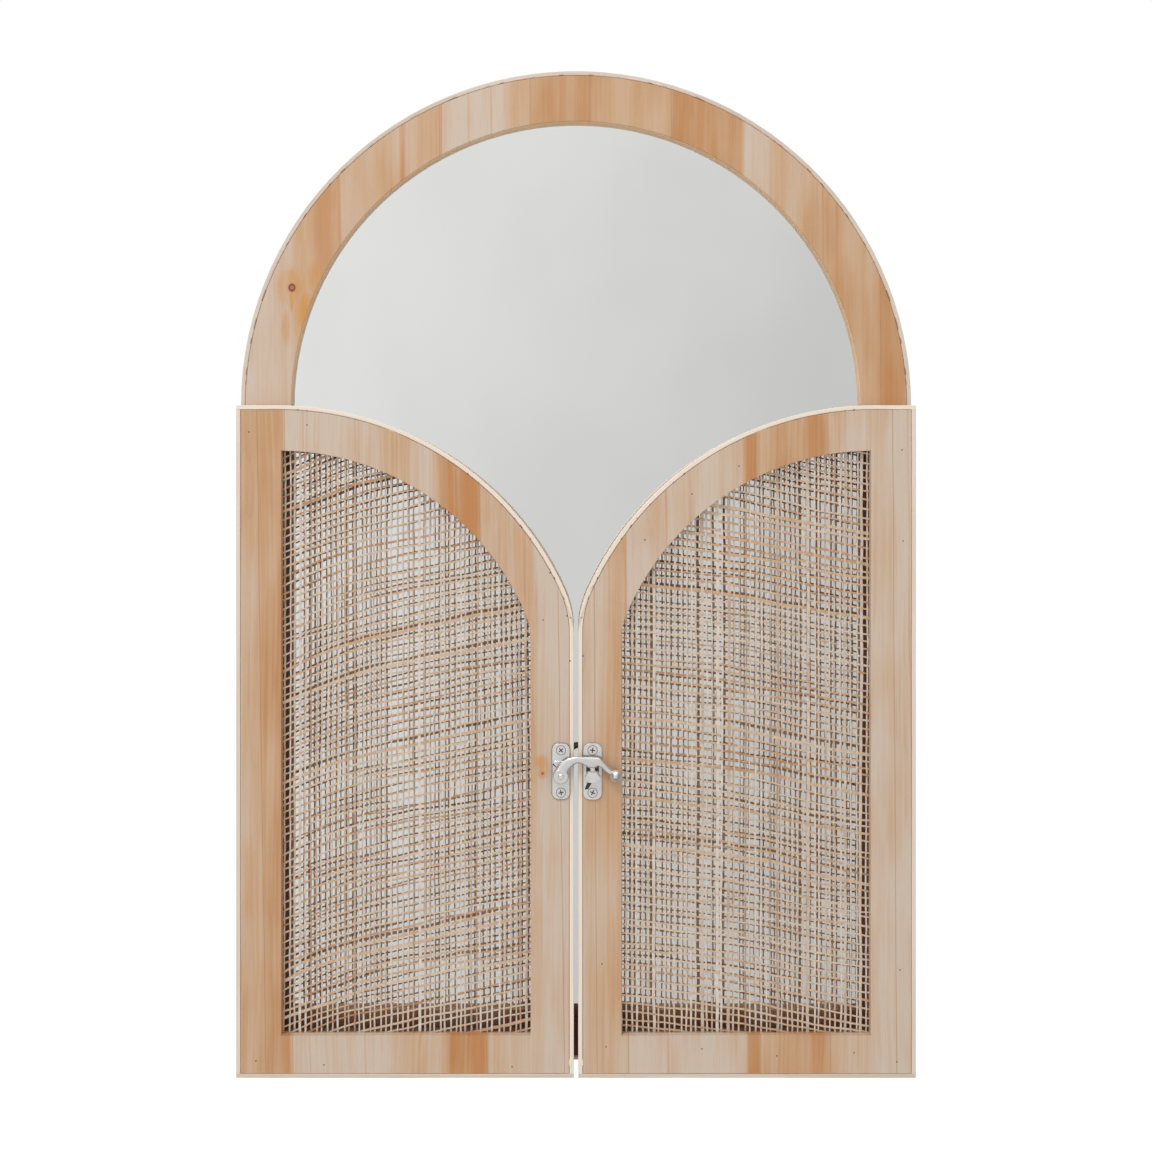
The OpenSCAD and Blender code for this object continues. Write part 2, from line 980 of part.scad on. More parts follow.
module latch_arm() {
  tip = arm_line[len(arm_line) - 1];
  color(steel_tone)
    translate([-pivot_in, 0, -latch_z])
      difference() {
        union() {
          arm_loft();
          bar(0, 0, seat_front, arm_front, hub_r, hub_r - 0.4);
          translate([latch_reach - pad_w / 2, -arm_mid - pad_t / 2, head_up + side_play])
            cube([pad_w, pad_t, arm_top - catch_r - head_up]);
          translate([tip[0], -arm_mid, tip[1]])
            sphere(r = ball_r);
        }
        bar(0, 0, seat_front - 1, arm_front + 1, rivet_r + run_play, rivet_r + run_play);
      }
}

// The keeper's head: sloping shoulders over a round chin, grown by a rim
module head_2d(rim) {
  half = head_w / 2 + rim;
  half_top = head_top_w / 2 + rim;
  translate([keeper_in, -latch_z])
    intersection() {
      translate([0, head_down + chin_r])
        circle(r = chin_r + rim);
      polygon([
        [-half_top, head_up],
        [half_top, head_up],
        [half, head_shoulder],
        [half, head_down - 2 * rim - 1],
        [-half, head_down - 2 * rim - 1],
        [-half, head_shoulder]
      ]);
    }
}

// The keeper's plate, pressed in above and below its raised lug, and the head on its
// stem, which the arm's catch rests on
module latch_keeper() {
  slot_top = -latch_z + head_down - 0.8;
  color(steel_tone)
    difference() {
      union() {
        difference() {
          slab(door_front, plate_front)
            plate_2d(keeper_in);
          slab(plate_front - press_d, plate_front + 1) {
            polygon([
              [keeper_in - 0.5, slot_top],
              [keeper_in - 3.1, slot_top],
              [keeper_in - 4.6, slot_top - 3.9],
              [keeper_in - 2.6, slot_top - 3.9]
            ]);
            translate([keeper_in - window_w / 2, -latch_z + head_up - 1])
              square([window_w, window_up - head_up + 1]);
          }
        }
        slab(plate_front - press_d - 0.1, plate_front + lug_t)
          head_2d(lug_rim);
        slab(plate_front, arm_front - head_t / 2)
          translate([keeper_in - stem_w / 2, -latch_z + head_down + 0.8])
            square([stem_w, head_up - head_down - 1.2]);
        slab(arm_front - head_t, arm_front)
          head_2d(0);
      }
      latch_screw_holes(keeper_in);
    }
}

module latch_pivot_screws() {
  on_side(-1)
    latch_screws(pivot_in, [12, 40]);
}

module latch_keeper_screws() {
  latch_screws(keeper_in, [25, 8]);
}

frame_face();
frame_core();
frame_arch_edging();
frame_base_edging();
mirror_glass();
backing_board();
retaining_tabs();
left_hanger_plate();
right_hanger_plate();
hanger_screws();
left_top_hinge_frame_leaf();
left_top_hinge_door_leaf();
left_top_hinge_pin();
left_low_hinge_frame_leaf();
left_low_hinge_door_leaf();
left_low_hinge_pin();
right_top_hinge_frame_leaf();
right_top_hinge_door_leaf();
right_top_hinge_pin();
right_low_hinge_frame_leaf();
right_low_hinge_door_leaf();
right_low_hinge_pin();
frame_hinge_screws();
left_door_hinge_screws();
right_door_hinge_screws();
left_door_face();
left_door_backer();
left_door_curved_edging();
left_door_side_edging();
left_door_base_edging();
left_cane_panel();
right_door_face();
right_door_backer();
right_door_curved_edging();
right_door_side_edging();
right_door_base_edging();
right_cane_panel();
latch_pivot_plate();
latch_rivet();
latch_arm();
latch_keeper();
latch_pivot_screws();
latch_keeper_screws();
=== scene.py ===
import json
import math
import random

import bmesh
import bpy
from mathutils import Matrix, Vector, noise
from mathutils.bvhtree import BVHTree

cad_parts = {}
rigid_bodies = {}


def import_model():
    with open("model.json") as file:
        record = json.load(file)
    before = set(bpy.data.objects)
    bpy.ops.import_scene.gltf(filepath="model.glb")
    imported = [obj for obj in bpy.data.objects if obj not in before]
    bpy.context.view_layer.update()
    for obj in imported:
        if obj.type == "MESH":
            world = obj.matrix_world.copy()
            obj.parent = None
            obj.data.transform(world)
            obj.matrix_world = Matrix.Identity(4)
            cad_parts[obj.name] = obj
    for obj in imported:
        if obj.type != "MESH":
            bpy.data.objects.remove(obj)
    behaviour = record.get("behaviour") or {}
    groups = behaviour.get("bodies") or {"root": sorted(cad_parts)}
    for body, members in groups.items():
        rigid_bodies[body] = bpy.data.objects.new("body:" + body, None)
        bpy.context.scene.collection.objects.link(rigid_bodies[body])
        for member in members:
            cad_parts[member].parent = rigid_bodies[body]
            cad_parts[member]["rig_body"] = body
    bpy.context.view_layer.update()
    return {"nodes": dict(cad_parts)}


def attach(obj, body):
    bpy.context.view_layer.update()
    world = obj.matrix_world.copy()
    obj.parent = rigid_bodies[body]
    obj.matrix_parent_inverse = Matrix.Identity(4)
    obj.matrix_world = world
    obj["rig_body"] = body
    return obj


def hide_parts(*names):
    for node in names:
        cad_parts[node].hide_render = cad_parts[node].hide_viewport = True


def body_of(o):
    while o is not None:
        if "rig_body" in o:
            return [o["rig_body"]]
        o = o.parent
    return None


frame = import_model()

scene = bpy.context.scene
scene.view_settings.view_transform = "Standard"
mm = 0.001
nodes = frame["nodes"]


# colours are written as 0-255 screen values
def paint(red, green, blue):
    levels = (red, green, blue)
    linear = [c / 255 / 12.92 if c <= 10 else ((c / 255 + 0.055) / 1.055) ** 2.4 for c in levels]
    return (*linear, 1.0)


# helpers for material nodes: each input is a number or another node's output
def join(tree, value, socket):
    if isinstance(value, bpy.types.NodeSocket):
        tree.links.new(value, socket)
    else:
        socket.default_value = value


def calc(tree, operation, *values, clamp=False):
    step = tree.nodes.new("ShaderNodeMath")
    step.operation = operation
    step.use_clamp = clamp
    for value, socket in zip(values, step.inputs):
        join(tree, value, socket)
    return step.outputs[0]


def plus(tree, a, b):
    return calc(tree, "ADD", a, b)


def minus(tree, a, b):
    return calc(tree, "SUBTRACT", a, b)


def times(tree, a, b):
    return calc(tree, "MULTIPLY", a, b)


# a times b plus c
def timesPlus(tree, a, b, c):
    return calc(tree, "MULTIPLY_ADD", a, b, c)


# how far a lies from b
def offFrom(tree, a, b):
    return calc(tree, "ABSOLUTE", minus(tree, a, b))


# the straight distance for a step across and a step up
def spanOf(tree, across, up):
    return calc(tree, "SQRT", plus(tree, times(tree, across, across), times(tree, up, up)))


# the stronger of two masks, of which the first may not be there yet
def most(tree, first, second):
    return second if first is None else calc(tree, "MAXIMUM", first, second)


def vectorOf(tree, x, y, z):
    step = tree.nodes.new("ShaderNodeCombineXYZ")
    for value, socket in zip((x, y, z), step.inputs):
        join(tree, value, socket)
    return step.outputs[0]


def cloud(tree, vector, scale=1.0, detail=2.0, rough=0.5):
    step = tree.nodes.new("ShaderNodeTexNoise")
    join(tree, vector, step.inputs["Vector"])
    step.inputs["Scale"].default_value = scale
    step.inputs["Detail"].default_value = detail
    step.inputs["Roughness"].default_value = rough
    return step.outputs["Fac"]


def blend(tree, amount, a, b):
    step = tree.nodes.new("ShaderNodeMix")
    step.data_type = "RGBA"
    step.clamp_factor = True
    join(tree, amount, step.inputs[0])
    join(tree, a, step.inputs[6])
    join(tree, b, step.inputs[7])
    return step.outputs[2]


# carries a value from the range low to high over to the range toLow to toHigh
def between(tree, value, low, high, toLow=0.0, toHigh=1.0, smooth=True):
    step = tree.nodes.new("ShaderNodeMapRange")
    step.interpolation_type = "SMOOTHSTEP" if smooth else "LINEAR"
    for given, socket in zip((value, low, high, toLow, toHigh), step.inputs):
        join(tree, given, socket)
    return step.outputs[0]


# the same for noise, most of which lies between 0.3 and 0.7
def spread(tree, value, toLow, toHigh):
    return between(tree, value, 0.3, 0.7, toLow, toHigh)


def ramp(tree, value, stops):
    step = tree.nodes.new("ShaderNodeValToRGB")
    points = step.color_ramp.elements
    while len(points) < len(stops):
        points.new(0.5)
    for point, (place, tone) in zip(points, stops):
        point.position = place
        point.color = tone if hasattr(tone, "__len__") else (tone, tone, tone, 1.0)
    join(tree, value, step.inputs[0])
    return step.outputs[0]


def bumped(tree, height, distance, strength):
    step = tree.nodes.new("ShaderNodeBump")
    step.inputs["Strength"].default_value = strength
    step.inputs["Distance"].default_value = distance
    join(tree, height, step.inputs["Height"])
    return step.outputs[0]


def startMaterial(name):
    material = bpy.data.materials.new(name)
    material.use_nodes = True
    tree = material.node_tree
    tree.nodes.clear()
    surface = tree.nodes.new("ShaderNodeBsdfPrincipled")
    output = tree.nodes.new("ShaderNodeOutputMaterial")
    tree.links.new(surface.outputs[0], output.inputs[0])
    return material, tree, surface


def finishSurface(tree, surface, colour, roughness, normal):
    tree.links.new(colour, surface.inputs["Base Color"])
    tree.links.new(roughness, surface.inputs["Roughness"])
    tree.links.new(normal, surface.inputs["Normal"])


def mixShaders(tree, amount, first, second):
    step = tree.nodes.new("ShaderNodeMixShader")
    for value, socket in zip((amount, first, second), step.inputs):
        tree.links.new(value, socket)
    return step.outputs[0]


# 1 for what is seen in a mirror or through glass
def glassRay(tree, path):
    return calc(tree, "MAXIMUM", path.outputs["Is Glossy Ray"], path.outputs["Is Transmission Ray"])


# a float attribute of the mesh
def attributeOf(tree, name):
    step = tree.nodes.new("ShaderNodeAttribute")
    step.attribute_name = name
    return step.outputs["Fac"]


# the object's own coordinates in millimetres
def placeIn(tree):
    source = tree.nodes.new("ShaderNodeTexCoord")
    split = tree.nodes.new("ShaderNodeSeparateXYZ")
    tree.links.new(source.outputs["Object"], split.inputs[0])
    return [times(tree, part, 1000.0) for part in split.outputs]


print("stage: materials")
# a figure's two sizes are its width across the grain and its length along it, in millimetres
firLook = dict(
    tones=((0.0, paint(211, 192, 174)), (0.5, paint(206, 169, 134)), (1.0, paint(192, 136, 84))),
    orange=paint(197, 134, 82),
    line=paint(170, 124, 88),
    glow=paint(210, 148, 78),
    knot=paint(122, 30, 2),
    # nook is the tone of the painted brown shade deep between boards
    paintedNookShade=paint(98, 42, 0),
    # cut is the tone of the painted light on a recess wall
    paintedLight=paint(255, 217, 176),
    # paintedWallTone is the tone of the painted shade on inner walls
    paintedWallTone=paint(70, 42, 22),
    wide=(60, 300), close=(11, 90), rings=(17, 420), veins=(1.6, 150), patches=(13, 90), clouds=(34, 60),
    fibre=(0.42, 22), fibreDepth=0.06 * mm,
    sway=16.0, tremble=2.2,  # how far the wide and the close figure push the grain aside
    ringWidth=5.2, ringSway=17.0, seamWidth=0.45,
    patchTones=(-0.13, 0.15), cloudTones=(-0.1, 0.1),
    knotPull=0.85, knotTall=0.9,  # the smaller, the taller a knot is
    knotZones=((0.6, 4.5), (0.8, 1.4), (0.2, 0.75), (1.2, 6.0)),  # bend, core, heart and halo, in radii
    # painted shade: how far it looks for cover, and where it sets in under the doors' top
    paintedShadeReach=22 * mm, paintedShadeTop=(-1.0, -6.0),  # the brown shade starts under the doors' top
    gloss=0.35,
)


# edge-glued fir. Each plank is its left edge across the object in millimetres, its tone and how
# soft that edge is; slant leans the planks, and seams are their glue lines. Streaks (across, width,
# strength), knots (across, up, radius) and flares (across, up, half width, half height, strength)
# are warm marks. A range of depth, paintedLitEdge, paints light on a recess wall so that it turns pale, and
# a range of openness, nooks, paints brown shade on what lies deep between boards; both end with the
# strength at either end. Inner walls get painted shade by paintedWallShade. Rings and veins show by ringy
# and veined, and deeper warms the whole tone
def firMaterial(name, seed, planks, slant=0.0, seams=(), streaks=(), knots=(), flares=(), paintedLitEdge=None,
                paintedWallShade=0.0, paintedNookRange=None, ringy=0.22, veined=0.1, deeper=0.0, rough=0.5):
    material, tree, surface = startMaterial(name)
    x, y, z = placeIn(tree)

    # noise drawn out along the grain
    def figure(across, size, offset, detail=2.0, roughness=0.5):
        wide, long = firLook[size]
        place = vectorOf(tree, times(tree, across, 1 / wide), seed + offset, times(tree, z, 1 / long))
        return cloud(tree, place, 1.0, detail, roughness)

    wide = figure(x, "wide", 0, 1.0)
    close = figure(x, "close", 1)
    grainX = timesPlus(tree, close, firLook["tremble"], timesPlus(tree, wide, firLook["sway"], x))
    knotMask = glow = None
    for knotX, knotZ, radius in knots:
        away = minus(tree, x, knotX)
        up = times(tree, minus(tree, z, knotZ), firLook["knotTall"])
        span = spanOf(tree, away, up)
        bend, core, heart, halo = [[radius * part for part in zone] for zone in firLook["knotZones"]]
        near = between(tree, span, *bend, 1.0, 0.0)
        grainX = minus(tree, grainX, times(tree, times(tree, away, near), firLook["knotPull"]))
        edge = timesPlus(tree, close, radius * 0.5, span)
        dark = times(tree, between(tree, edge, *core, 1.0, 0.0), between(tree, span, *heart, 0.5, 1.0))
        knotMask = most(tree, knotMask, dark)
        glow = most(tree, glow, between(tree, span, *halo, 0.75, 0.0))
    for flareX, flareZ, halfWide, halfTall, strength in flares:
        away = calc(tree, "DIVIDE", minus(tree, x, flareX), halfWide)
        up = calc(tree, "DIVIDE", minus(tree, z, flareZ), halfTall)
        span = timesPlus(tree, minus(tree, close, 0.5), 0.8, spanOf(tree, away, up))
        glow = most(tree, glow, between(tree, span, 0.3, 1.1, strength, 0.0))
    plankX = timesPlus(tree, z, slant, x)
    plankX = timesPlus(tree, minus(tree, close, 0.5), 0.9, plankX)
    left, right = -210.0, 210.0  # the planks' ramp runs from edge to edge
    stops = [(0.0, planks[0][1])]
    for before, (edge, tone, soft) in zip(planks, planks[1:]):
        stops.append(((edge - soft - left) / (right - left), before[1]))
        stops.append(((edge + soft - left) / (right - left), tone))
    tone = ramp(tree, between(tree, plankX, left, right, smooth=False), stops)
    ringNoise = figure(grainX, "rings", 3, 1.0)
    ringCount = times(tree, grainX, 1 / firLook["ringWidth"])
    ringPlace = timesPlus(tree, ringNoise, firLook["ringSway"], ringCount)
    ring = calc(tree, "POWER", calc(tree, "FRACT", ringPlace), 3.0)
    veins = figure(grainX, "veins", 5, 3.0, 0.6)
    patches = figure(grainX, "patches", 8)
    clouds = figure(x, "clouds", 12)
    fibreWide, fibreLong = firLook["fibre"]
    fibrePlace = vectorOf(
        tree, times(tree, grainX, 1 / fibreWide), times(tree, y, 1.2), times(tree, z, 1 / fibreLong))
    fibres = cloud(tree, fibrePlace, 1.0, 3.0, 0.6)
    warmth = plus(tree, tone, spread(tree, patches, *firLook["patchTones"]))
    warmth = plus(tree, warmth, spread(tree, clouds, *firLook["cloudTones"]))
    vein = between(tree, veins, 0.34, 0.66, deeper - veined, deeper + veined)
    colour = ramp(tree, calc(tree, "ADD", warmth, vein, clamp=True), firLook["tones"])
    # streaks stray with both figures. These average a half, which sets a streak 5 mm aside
    wander = timesPlus(tree, wide, 8.0, timesPlus(tree, close, 2.0, plankX))
    for streakX, width, strength in streaks:
        off = offFrom(tree, wander, streakX + 5.0)
        band = between(tree, off, width * 0.2, width, strength, 0.0)
        band = times(tree, band, between(tree, patches, 0.25, 0.55, 0.45, 1.0))
        colour = blend(tree, band, colour, firLook["orange"])
    if glow is not None:
        lit = times(tree, glow, between(tree, veins, 0.3, 0.6, 0.6, 1.0))
        colour = blend(tree, lit, colour, firLook["glow"])
    ringShow = times(tree, ring, spread(tree, veins, 0.03, ringy))
    ringShow = times(tree, ringShow, between(tree, patches, 0.4, 0.6, 0.15, 1.0))
    colour = blend(tree, ringShow, colour, firLook["line"])
    colour = blend(tree, between(tree, fibres, 0.3, 0.5, 0.12, 0.0), colour, firLook["line"])
    for seam in seams:
        line = between(tree, offFrom(tree, plankX, seam), 0.1, firLook["seamWidth"], 0.5, 0.0)
        colour = blend(tree, line, colour, firLook["line"])
    # painted light: the recess wall is made pale over a range of depth
    if paintedLitEdge:
        colour = blend(tree, between(tree, y, *paintedLitEdge), colour, firLook["paintedLight"])
    # painted shade: deep between the boards, where little light reaches, the wood is darkened to a brown
    if paintedNookRange:  # deep between the boards the wood is seen in its own brown shade
        paintedNookShade = tree.nodes.new("ShaderNodeAmbientOcclusion")
        paintedNookShade.samples = 8
        paintedNookShade.inputs["Distance"].default_value = firLook["paintedShadeReach"]
        dim = between(tree, paintedNookShade.outputs["AO"], *paintedNookRange)
        dim = times(tree, dim, between(tree, z, *firLook["paintedShadeTop"]))
        colour = blend(tree, dim, colour, firLook["paintedNookShade"])
    # painted shade: the core's inner walls are darkened
    if paintedWallShade:
        paintedWallMask = times(tree, attributeOf(tree, "innerWall"), paintedWallShade)
        colour = blend(tree, paintedWallMask, colour, firLook["paintedWallTone"])
    if knotMask is not None:
        colour = blend(tree, times(tree, knotMask, 0.95), colour, firLook["knot"])
    height = plus(tree, times(tree, fibres, 0.6), times(tree, ring, -0.5))
    finishSurface(tree, surface, colour, spread(tree, fibres, rough + 0.1, rough - 0.06),
                  bumped(tree, height, firLook["fibreDepth"], 0.5))
    surface.inputs["Specular IOR Level"].default_value = firLook["gloss"]
    return material


leftDoorFir = firMaterial(
    "firLeftDoor", 2.3,
    ((-210, 0.42, 0), (-187, 0.66, 1), (-171, 0.06, 0.15), (-114, 0.36, 6), (-92, 0.24, 2), (-82, 0.8, 5),
     (-57.4, 0.36, 0.3), (-25, 0.0, 4)),
    slant=0.0135, seams=(-187, -171, -57.4, -12),
    streaks=((-174, 4, 0.5), (-160, 0.8, 0.3), (-128, 0.8, 0.3), (-62, 7, 0.8), (-73, 3, 0.4)),
    knots=((-19.6, -216.2, 0.75),), flares=((-20, -210, 6, 6, 0.75), (-17, -214.5, 3, 5, 0.5)))
rightDoorFir = firMaterial(
    "firRightDoor", 6.1,
    ((-210, 0.24, 0), (14, 0.46, 4), (28.5, 0.12, 0.15), (52, 0.08, 2), (80, 0.26, 4), (98, 0.92, 1.5),
     (106, 0.4, 1), (117, 0.7, 4), (147, 0.4, 2), (155, 0.18, 4), (174, 0.2, 2), (185.5, 0.02, 0.5)),
    slant=0.006, seams=(28.5, 10, 147, 185.5),
    streaks=((52, 0.9, 0.5), (101, 3, 0.5), (139, 6, 0.55), (24, 2.5, 0.15), (195, 0.8, 0.4)))
frameFir = firMaterial(
    "firFrame", 11.7,
    ((-210, 0.06, 0), (-168, 0.46, 2), (-142, 0.4, 2), (-102, 0.42, 1), (-80.5, 0.12, 0.4), (-40, 0.42, 3),
     (-26.2, 0.72, 0.5), (9.5, 0.62, 0.15), (40, 0.56, 5), (57.9, 0.8, 0.2), (100.8, 0.12, 1.5),
     (117, 0.46, 2), (147.9, 0.62, 0.2), (160, 0.5, 3), (181.9, 0.78, 2)),
    slant=0.006, seams=(-80.5, -26.2, 9.5, 57.9, 147.9, 182),
    streaks=((-150, 8, 0.5), (-141, 1.4, 0.5), (-102.6, 2.8, 0.85), (-80, 0.9, 0.6), (-64, 0.6, 0.4),
             (-50, 0.6, 0.4), (75, 3.2, 0.6), (157, 1.2, 0.4), (187, 0.8, 0.5)),
    knots=((-169.4, 70.7, 2.4),),
    flares=((-161, 56, 8.5, 20, 1.0), (-157, 76, 7, 14, 0.6), (-170, 77, 3.2, 6, 0.95),
            (-169.6, 63, 1.8, 8, 1.0), (-173, 47, 3, 12, 0.5)),
    # painted light on the recess wall, and painted shade between the boards under the doors
    paintedLitEdge=(-19.75, -19.4, 0.0, 0.85), paintedNookRange=(0.3, 0.88, 0.87, 0.0), ringy=0.13, veined=0.055)
coreFir = firMaterial(
    "firCore", 17.9,
    ((-210, 0.5, 0), (-150, 0.25, 0.2), (-70, 0.62, 0.2), (10, 0.35, 0.2), (92, 0.55, 0.2),
     (160, 0.3, 0.2)),
    seams=(-150, -70, 10, 92, 160), streaks=((-110, 9, 0.5), (120, 12, 0.5)),
    # painted shade on the inner walls of the core
    knots=((-188, -120, 3.0), (120, -372, 4.0)), paintedWallShade=0.75, deeper=0.1, rough=0.6)

# grain and tone give their sizes across, through and along the strip, in millimetres
edgingLook = dict(
    # white is the tone of the painted light on the strips
    pale=paint(224, 209, 195), warm=paint(208, 187, 166), white=paint(255, 240, 222),
    speck=paint(112, 56, 36), grain=(0.5, 0.7, 30), tone=(4, 6, 75), spotWide=3,
    depth=0.04 * mm, gloss=0.35,
)


# thin pale strips: their grain runs along the strip, round an arc (its centre and radius) above its
# centre. Along the glue joint at jointRadius lie dark spots, spotLength long; spotted is the range of
# the noise that shows them and how strongly, and lighter paints light on the strip, turning it paler
def edgingMaterial(name, seed, arc=None, level=False, jointRadius=None, spotLength=3.4,
                   spotted=(0.53, 0.6, 0.0, 0.55), paintedHighlight=0.0):
    material, tree, surface = startMaterial(name)
    x, y, z = placeIn(tree)
    if arc:
        middleX, middleZ, radius = arc
        across = minus(tree, calc(tree, "ABSOLUTE", x), middleX)
        above = calc(tree, "MAXIMUM", minus(tree, z, middleZ), 0.0)
        reach = spanOf(tree, across, above)
        turn = times(tree, calc(tree, "ARCTAN2", above, across), radius)
        along = plus(tree, turn, calc(tree, "MINIMUM", minus(tree, z, middleZ), 0.0))
    else:
        reach, along = (z, x) if level else (x, z)

    def figure(size, detail, roughness=0.5):
        wide, thick, long = edgingLook[size]
        way = timesPlus(tree, along, 1 / long, seed)
        place = vectorOf(tree, times(tree, reach, 1 / wide), times(tree, y, 1 / thick), way)
        return cloud(tree, place, 1.0, detail, roughness)

    grain = figure("grain", 3.0, 0.6)
    tone = figure("tone", 2.0)
    mixed = plus(tree, between(tree, grain, 0.36, 0.68, 0.0, 0.5), between(tree, tone, 0.35, 0.7, 0.0, 0.5))
    colour = blend(tree, mixed, edgingLook["pale"], edgingLook["warm"])
    # painted light: the strip is paled towards white
    colour = blend(tree, paintedHighlight, colour, edgingLook["white"])
    if jointRadius:
        spotPlace = vectorOf(
            tree, times(tree, reach, 1 / edgingLook["spotWide"]), seed, times(tree, along, 1 / spotLength))
        spots = cloud(tree, spotPlace, 1.0, 2.0)
        joint = between(tree, offFrom(tree, reach, jointRadius + 0.2), 0.35, 0.8, 1.0, 0.0)
        stain = times(tree, joint, between(tree, spots, *spotted))
        stain = times(tree, stain, between(tree, above, 2.0, 12.0))
        colour = blend(tree, stain, colour, edgingLook["speck"])
    finishSurface(tree, surface, colour, spread(tree, grain, 0.58, 0.42),
                  bumped(tree, grain, edgingLook["depth"], 0.4))
    surface.inputs["Specular IOR Level"].default_value = edgingLook["gloss"]
    return material


archEdging = edgingMaterial("edgingArch", 1.0, arc=(0.0, 0.0, 198.6), jointRadius=197.3, spotLength=9.0)
# the doors' strips are paled by painted light
doorCurveEdging = edgingMaterial("edgingDoorCurve", 7.0, arc=(174.2, -184.1, 183.6), jointRadius=180.9,
                                 spotted=(0.6, 0.66, 0.22, 0.8), paintedHighlight=0.65)
sideEdging = edgingMaterial("edgingSide", 3.0, paintedHighlight=0.3)
baseEdging = edgingMaterial("edgingBase", 5.0, level=True)

caneLook = dict(
    upright=((0.0, paint(229, 217, 206)), (0.55, paint(212, 195, 181)), (1.0, paint(176, 146, 120))),
    level=((0.0, paint(226, 204, 181)), (0.55, paint(212, 177, 143)), (1.0, paint(184, 138, 98))),
    fibre=paint(150, 116, 86), fibreWide=0.16, fibreLong=9, driftWide=7, driftLong=26, depth=0.03 * mm,
    gloss=0.4, glow=0.4, glowReach=0.7 * mm,
)


# cane strands: a tone for each strand from its attribute, fibres along the strand
def caneMaterial(name, upright):
    look = caneLook
    material, tree, surface = startMaterial(name)
    x, y, z = placeIn(tree)
    own = attributeOf(tree, "strandTone")
    across, along = (x, z) if upright else (z, x)
    fibrePlace = vectorOf(
        tree, times(tree, across, 1 / look["fibreWide"]), times(tree, y, 2.0),
        times(tree, along, 1 / look["fibreLong"]))
    fibres = cloud(tree, fibrePlace, 1.0, 2.0, 0.6)
    driftPlace = vectorOf(
        tree, times(tree, across, 1 / look["driftWide"]), own, times(tree, along, 1 / look["driftLong"]))
    drift = cloud(tree, driftPlace, 1.0, 2.0)
    shade = calc(tree, "ADD", own, spread(tree, drift, -0.22, 0.22), clamp=True)
    colour = ramp(tree, shade, look["upright" if upright else "level"])
    colour = blend(tree, between(tree, fibres, 0.34, 0.62, 0.25, 0.0), colour, look["fibre"])
    finishSurface(tree, surface, colour, spread(tree, fibres, 0.5, 0.36),
                  bumped(tree, fibres, look["depth"], 0.6))
    surface.inputs["Specular IOR Level"].default_value = look["gloss"]
    surface.inputs["Subsurface Weight"].default_value = look["glow"]
    surface.inputs["Subsurface Radius"].default_value = (1.0, 0.8, 0.6)
    surface.inputs["Subsurface Scale"].default_value = look["glowReach"]
    return material


uprightCane = caneMaterial("caneUprights", True)
levelCane = caneMaterial("caneLevels", False)


# shaded is the tone of the painted shade and dark reflections on the metal
metalLook = dict(paintedShadeTone=paint(58, 54, 50), cloudy=0.3, rubDepth=0.004 * mm)


# plated and bare metals: a base tone with a faint cloud in it, and fine rubbing marks; shade paints
# shade and dark reflections by depth, on rims, recesses and the backs of parts: the depth where it
# starts, where it is darkest, and how dark it gets
def metalMaterial(name, tone, rough, marks, grain=(4.0, 4.0, 4.0), darker=0.88, metallic=1.0, shade=None):
    look = metalLook
    material, tree, surface = startMaterial(name)
    place = placeIn(tree)
    rubPlace = vectorOf(tree, *[times(tree, part, size) for part, size in zip(place, grain)])
    rub = cloud(tree, rubPlace, 1.0, 3.0, 0.6)
    mist = cloud(tree, vectorOf(tree, *[times(tree, part, look["cloudy"]) for part in place]), 1.0, 2.0)
    dull = tuple(c * darker for c in tone[:3]) + (1.0,)
    colour = blend(tree, between(tree, mist, 0.35, 0.7), tone, dull)
    if shade:
        # painted shade and dark reflections: the deeper parts are darkened
        start, darkest, amount = shade
        colour = blend(tree, between(tree, place[1], start, darkest, 0.0, amount), colour, look["paintedShadeTone"])
    finishSurface(tree, surface, colour, spread(tree, rub, rough, rough + marks),
                  bumped(tree, rub, look["rubDepth"], 0.35))
    surface.inputs["Metallic"].default_value = metallic
    return material


# painted shade and dark reflections on the plates' rims, dishes and recesses, and on the arm's flanks and
# back
nickel = metalMaterial("brightNickel", paint(238, 235, 232), 0.09, 0.08, grain=(1.4, 1.4, 3.0), darker=0.95,
                       metallic=0.62, shade=(-34.9, -34.7, 0.96))
armNickel = metalMaterial("armNickel", paint(238, 234, 232), 0.08, 0.07, grain=(1.4, 1.4, 3.0), darker=0.95,
                          metallic=0.78, shade=(-38.7, -37.6, 0.92))
hingeSteel = metalMaterial("hingeSteel", paint(205, 203, 200), 0.26, 0.18, grain=(7.0, 7.0, 0.6))
zincSteel = metalMaterial("zincSteel", paint(190, 192, 193), 0.34, 0.2, grain=(1.0, 1.0, 1.0), darker=0.74)
brassPlate = metalMaterial("brassPlate", paint(214, 186, 120), 0.22, 0.16, grain=(6.0, 6.0, 0.7))
bradSteel = metalMaterial("bradSteel", paint(116, 92, 74), 0.45, 0.2)

glassLook = dict(
    clear=paint(247, 248, 246), hazy=paint(242, 243, 241), dusty=paint(225, 226, 222),
    haze=(0.012, 0.009), dust=1.8, polish=0.012, dustRough=0.09,
)


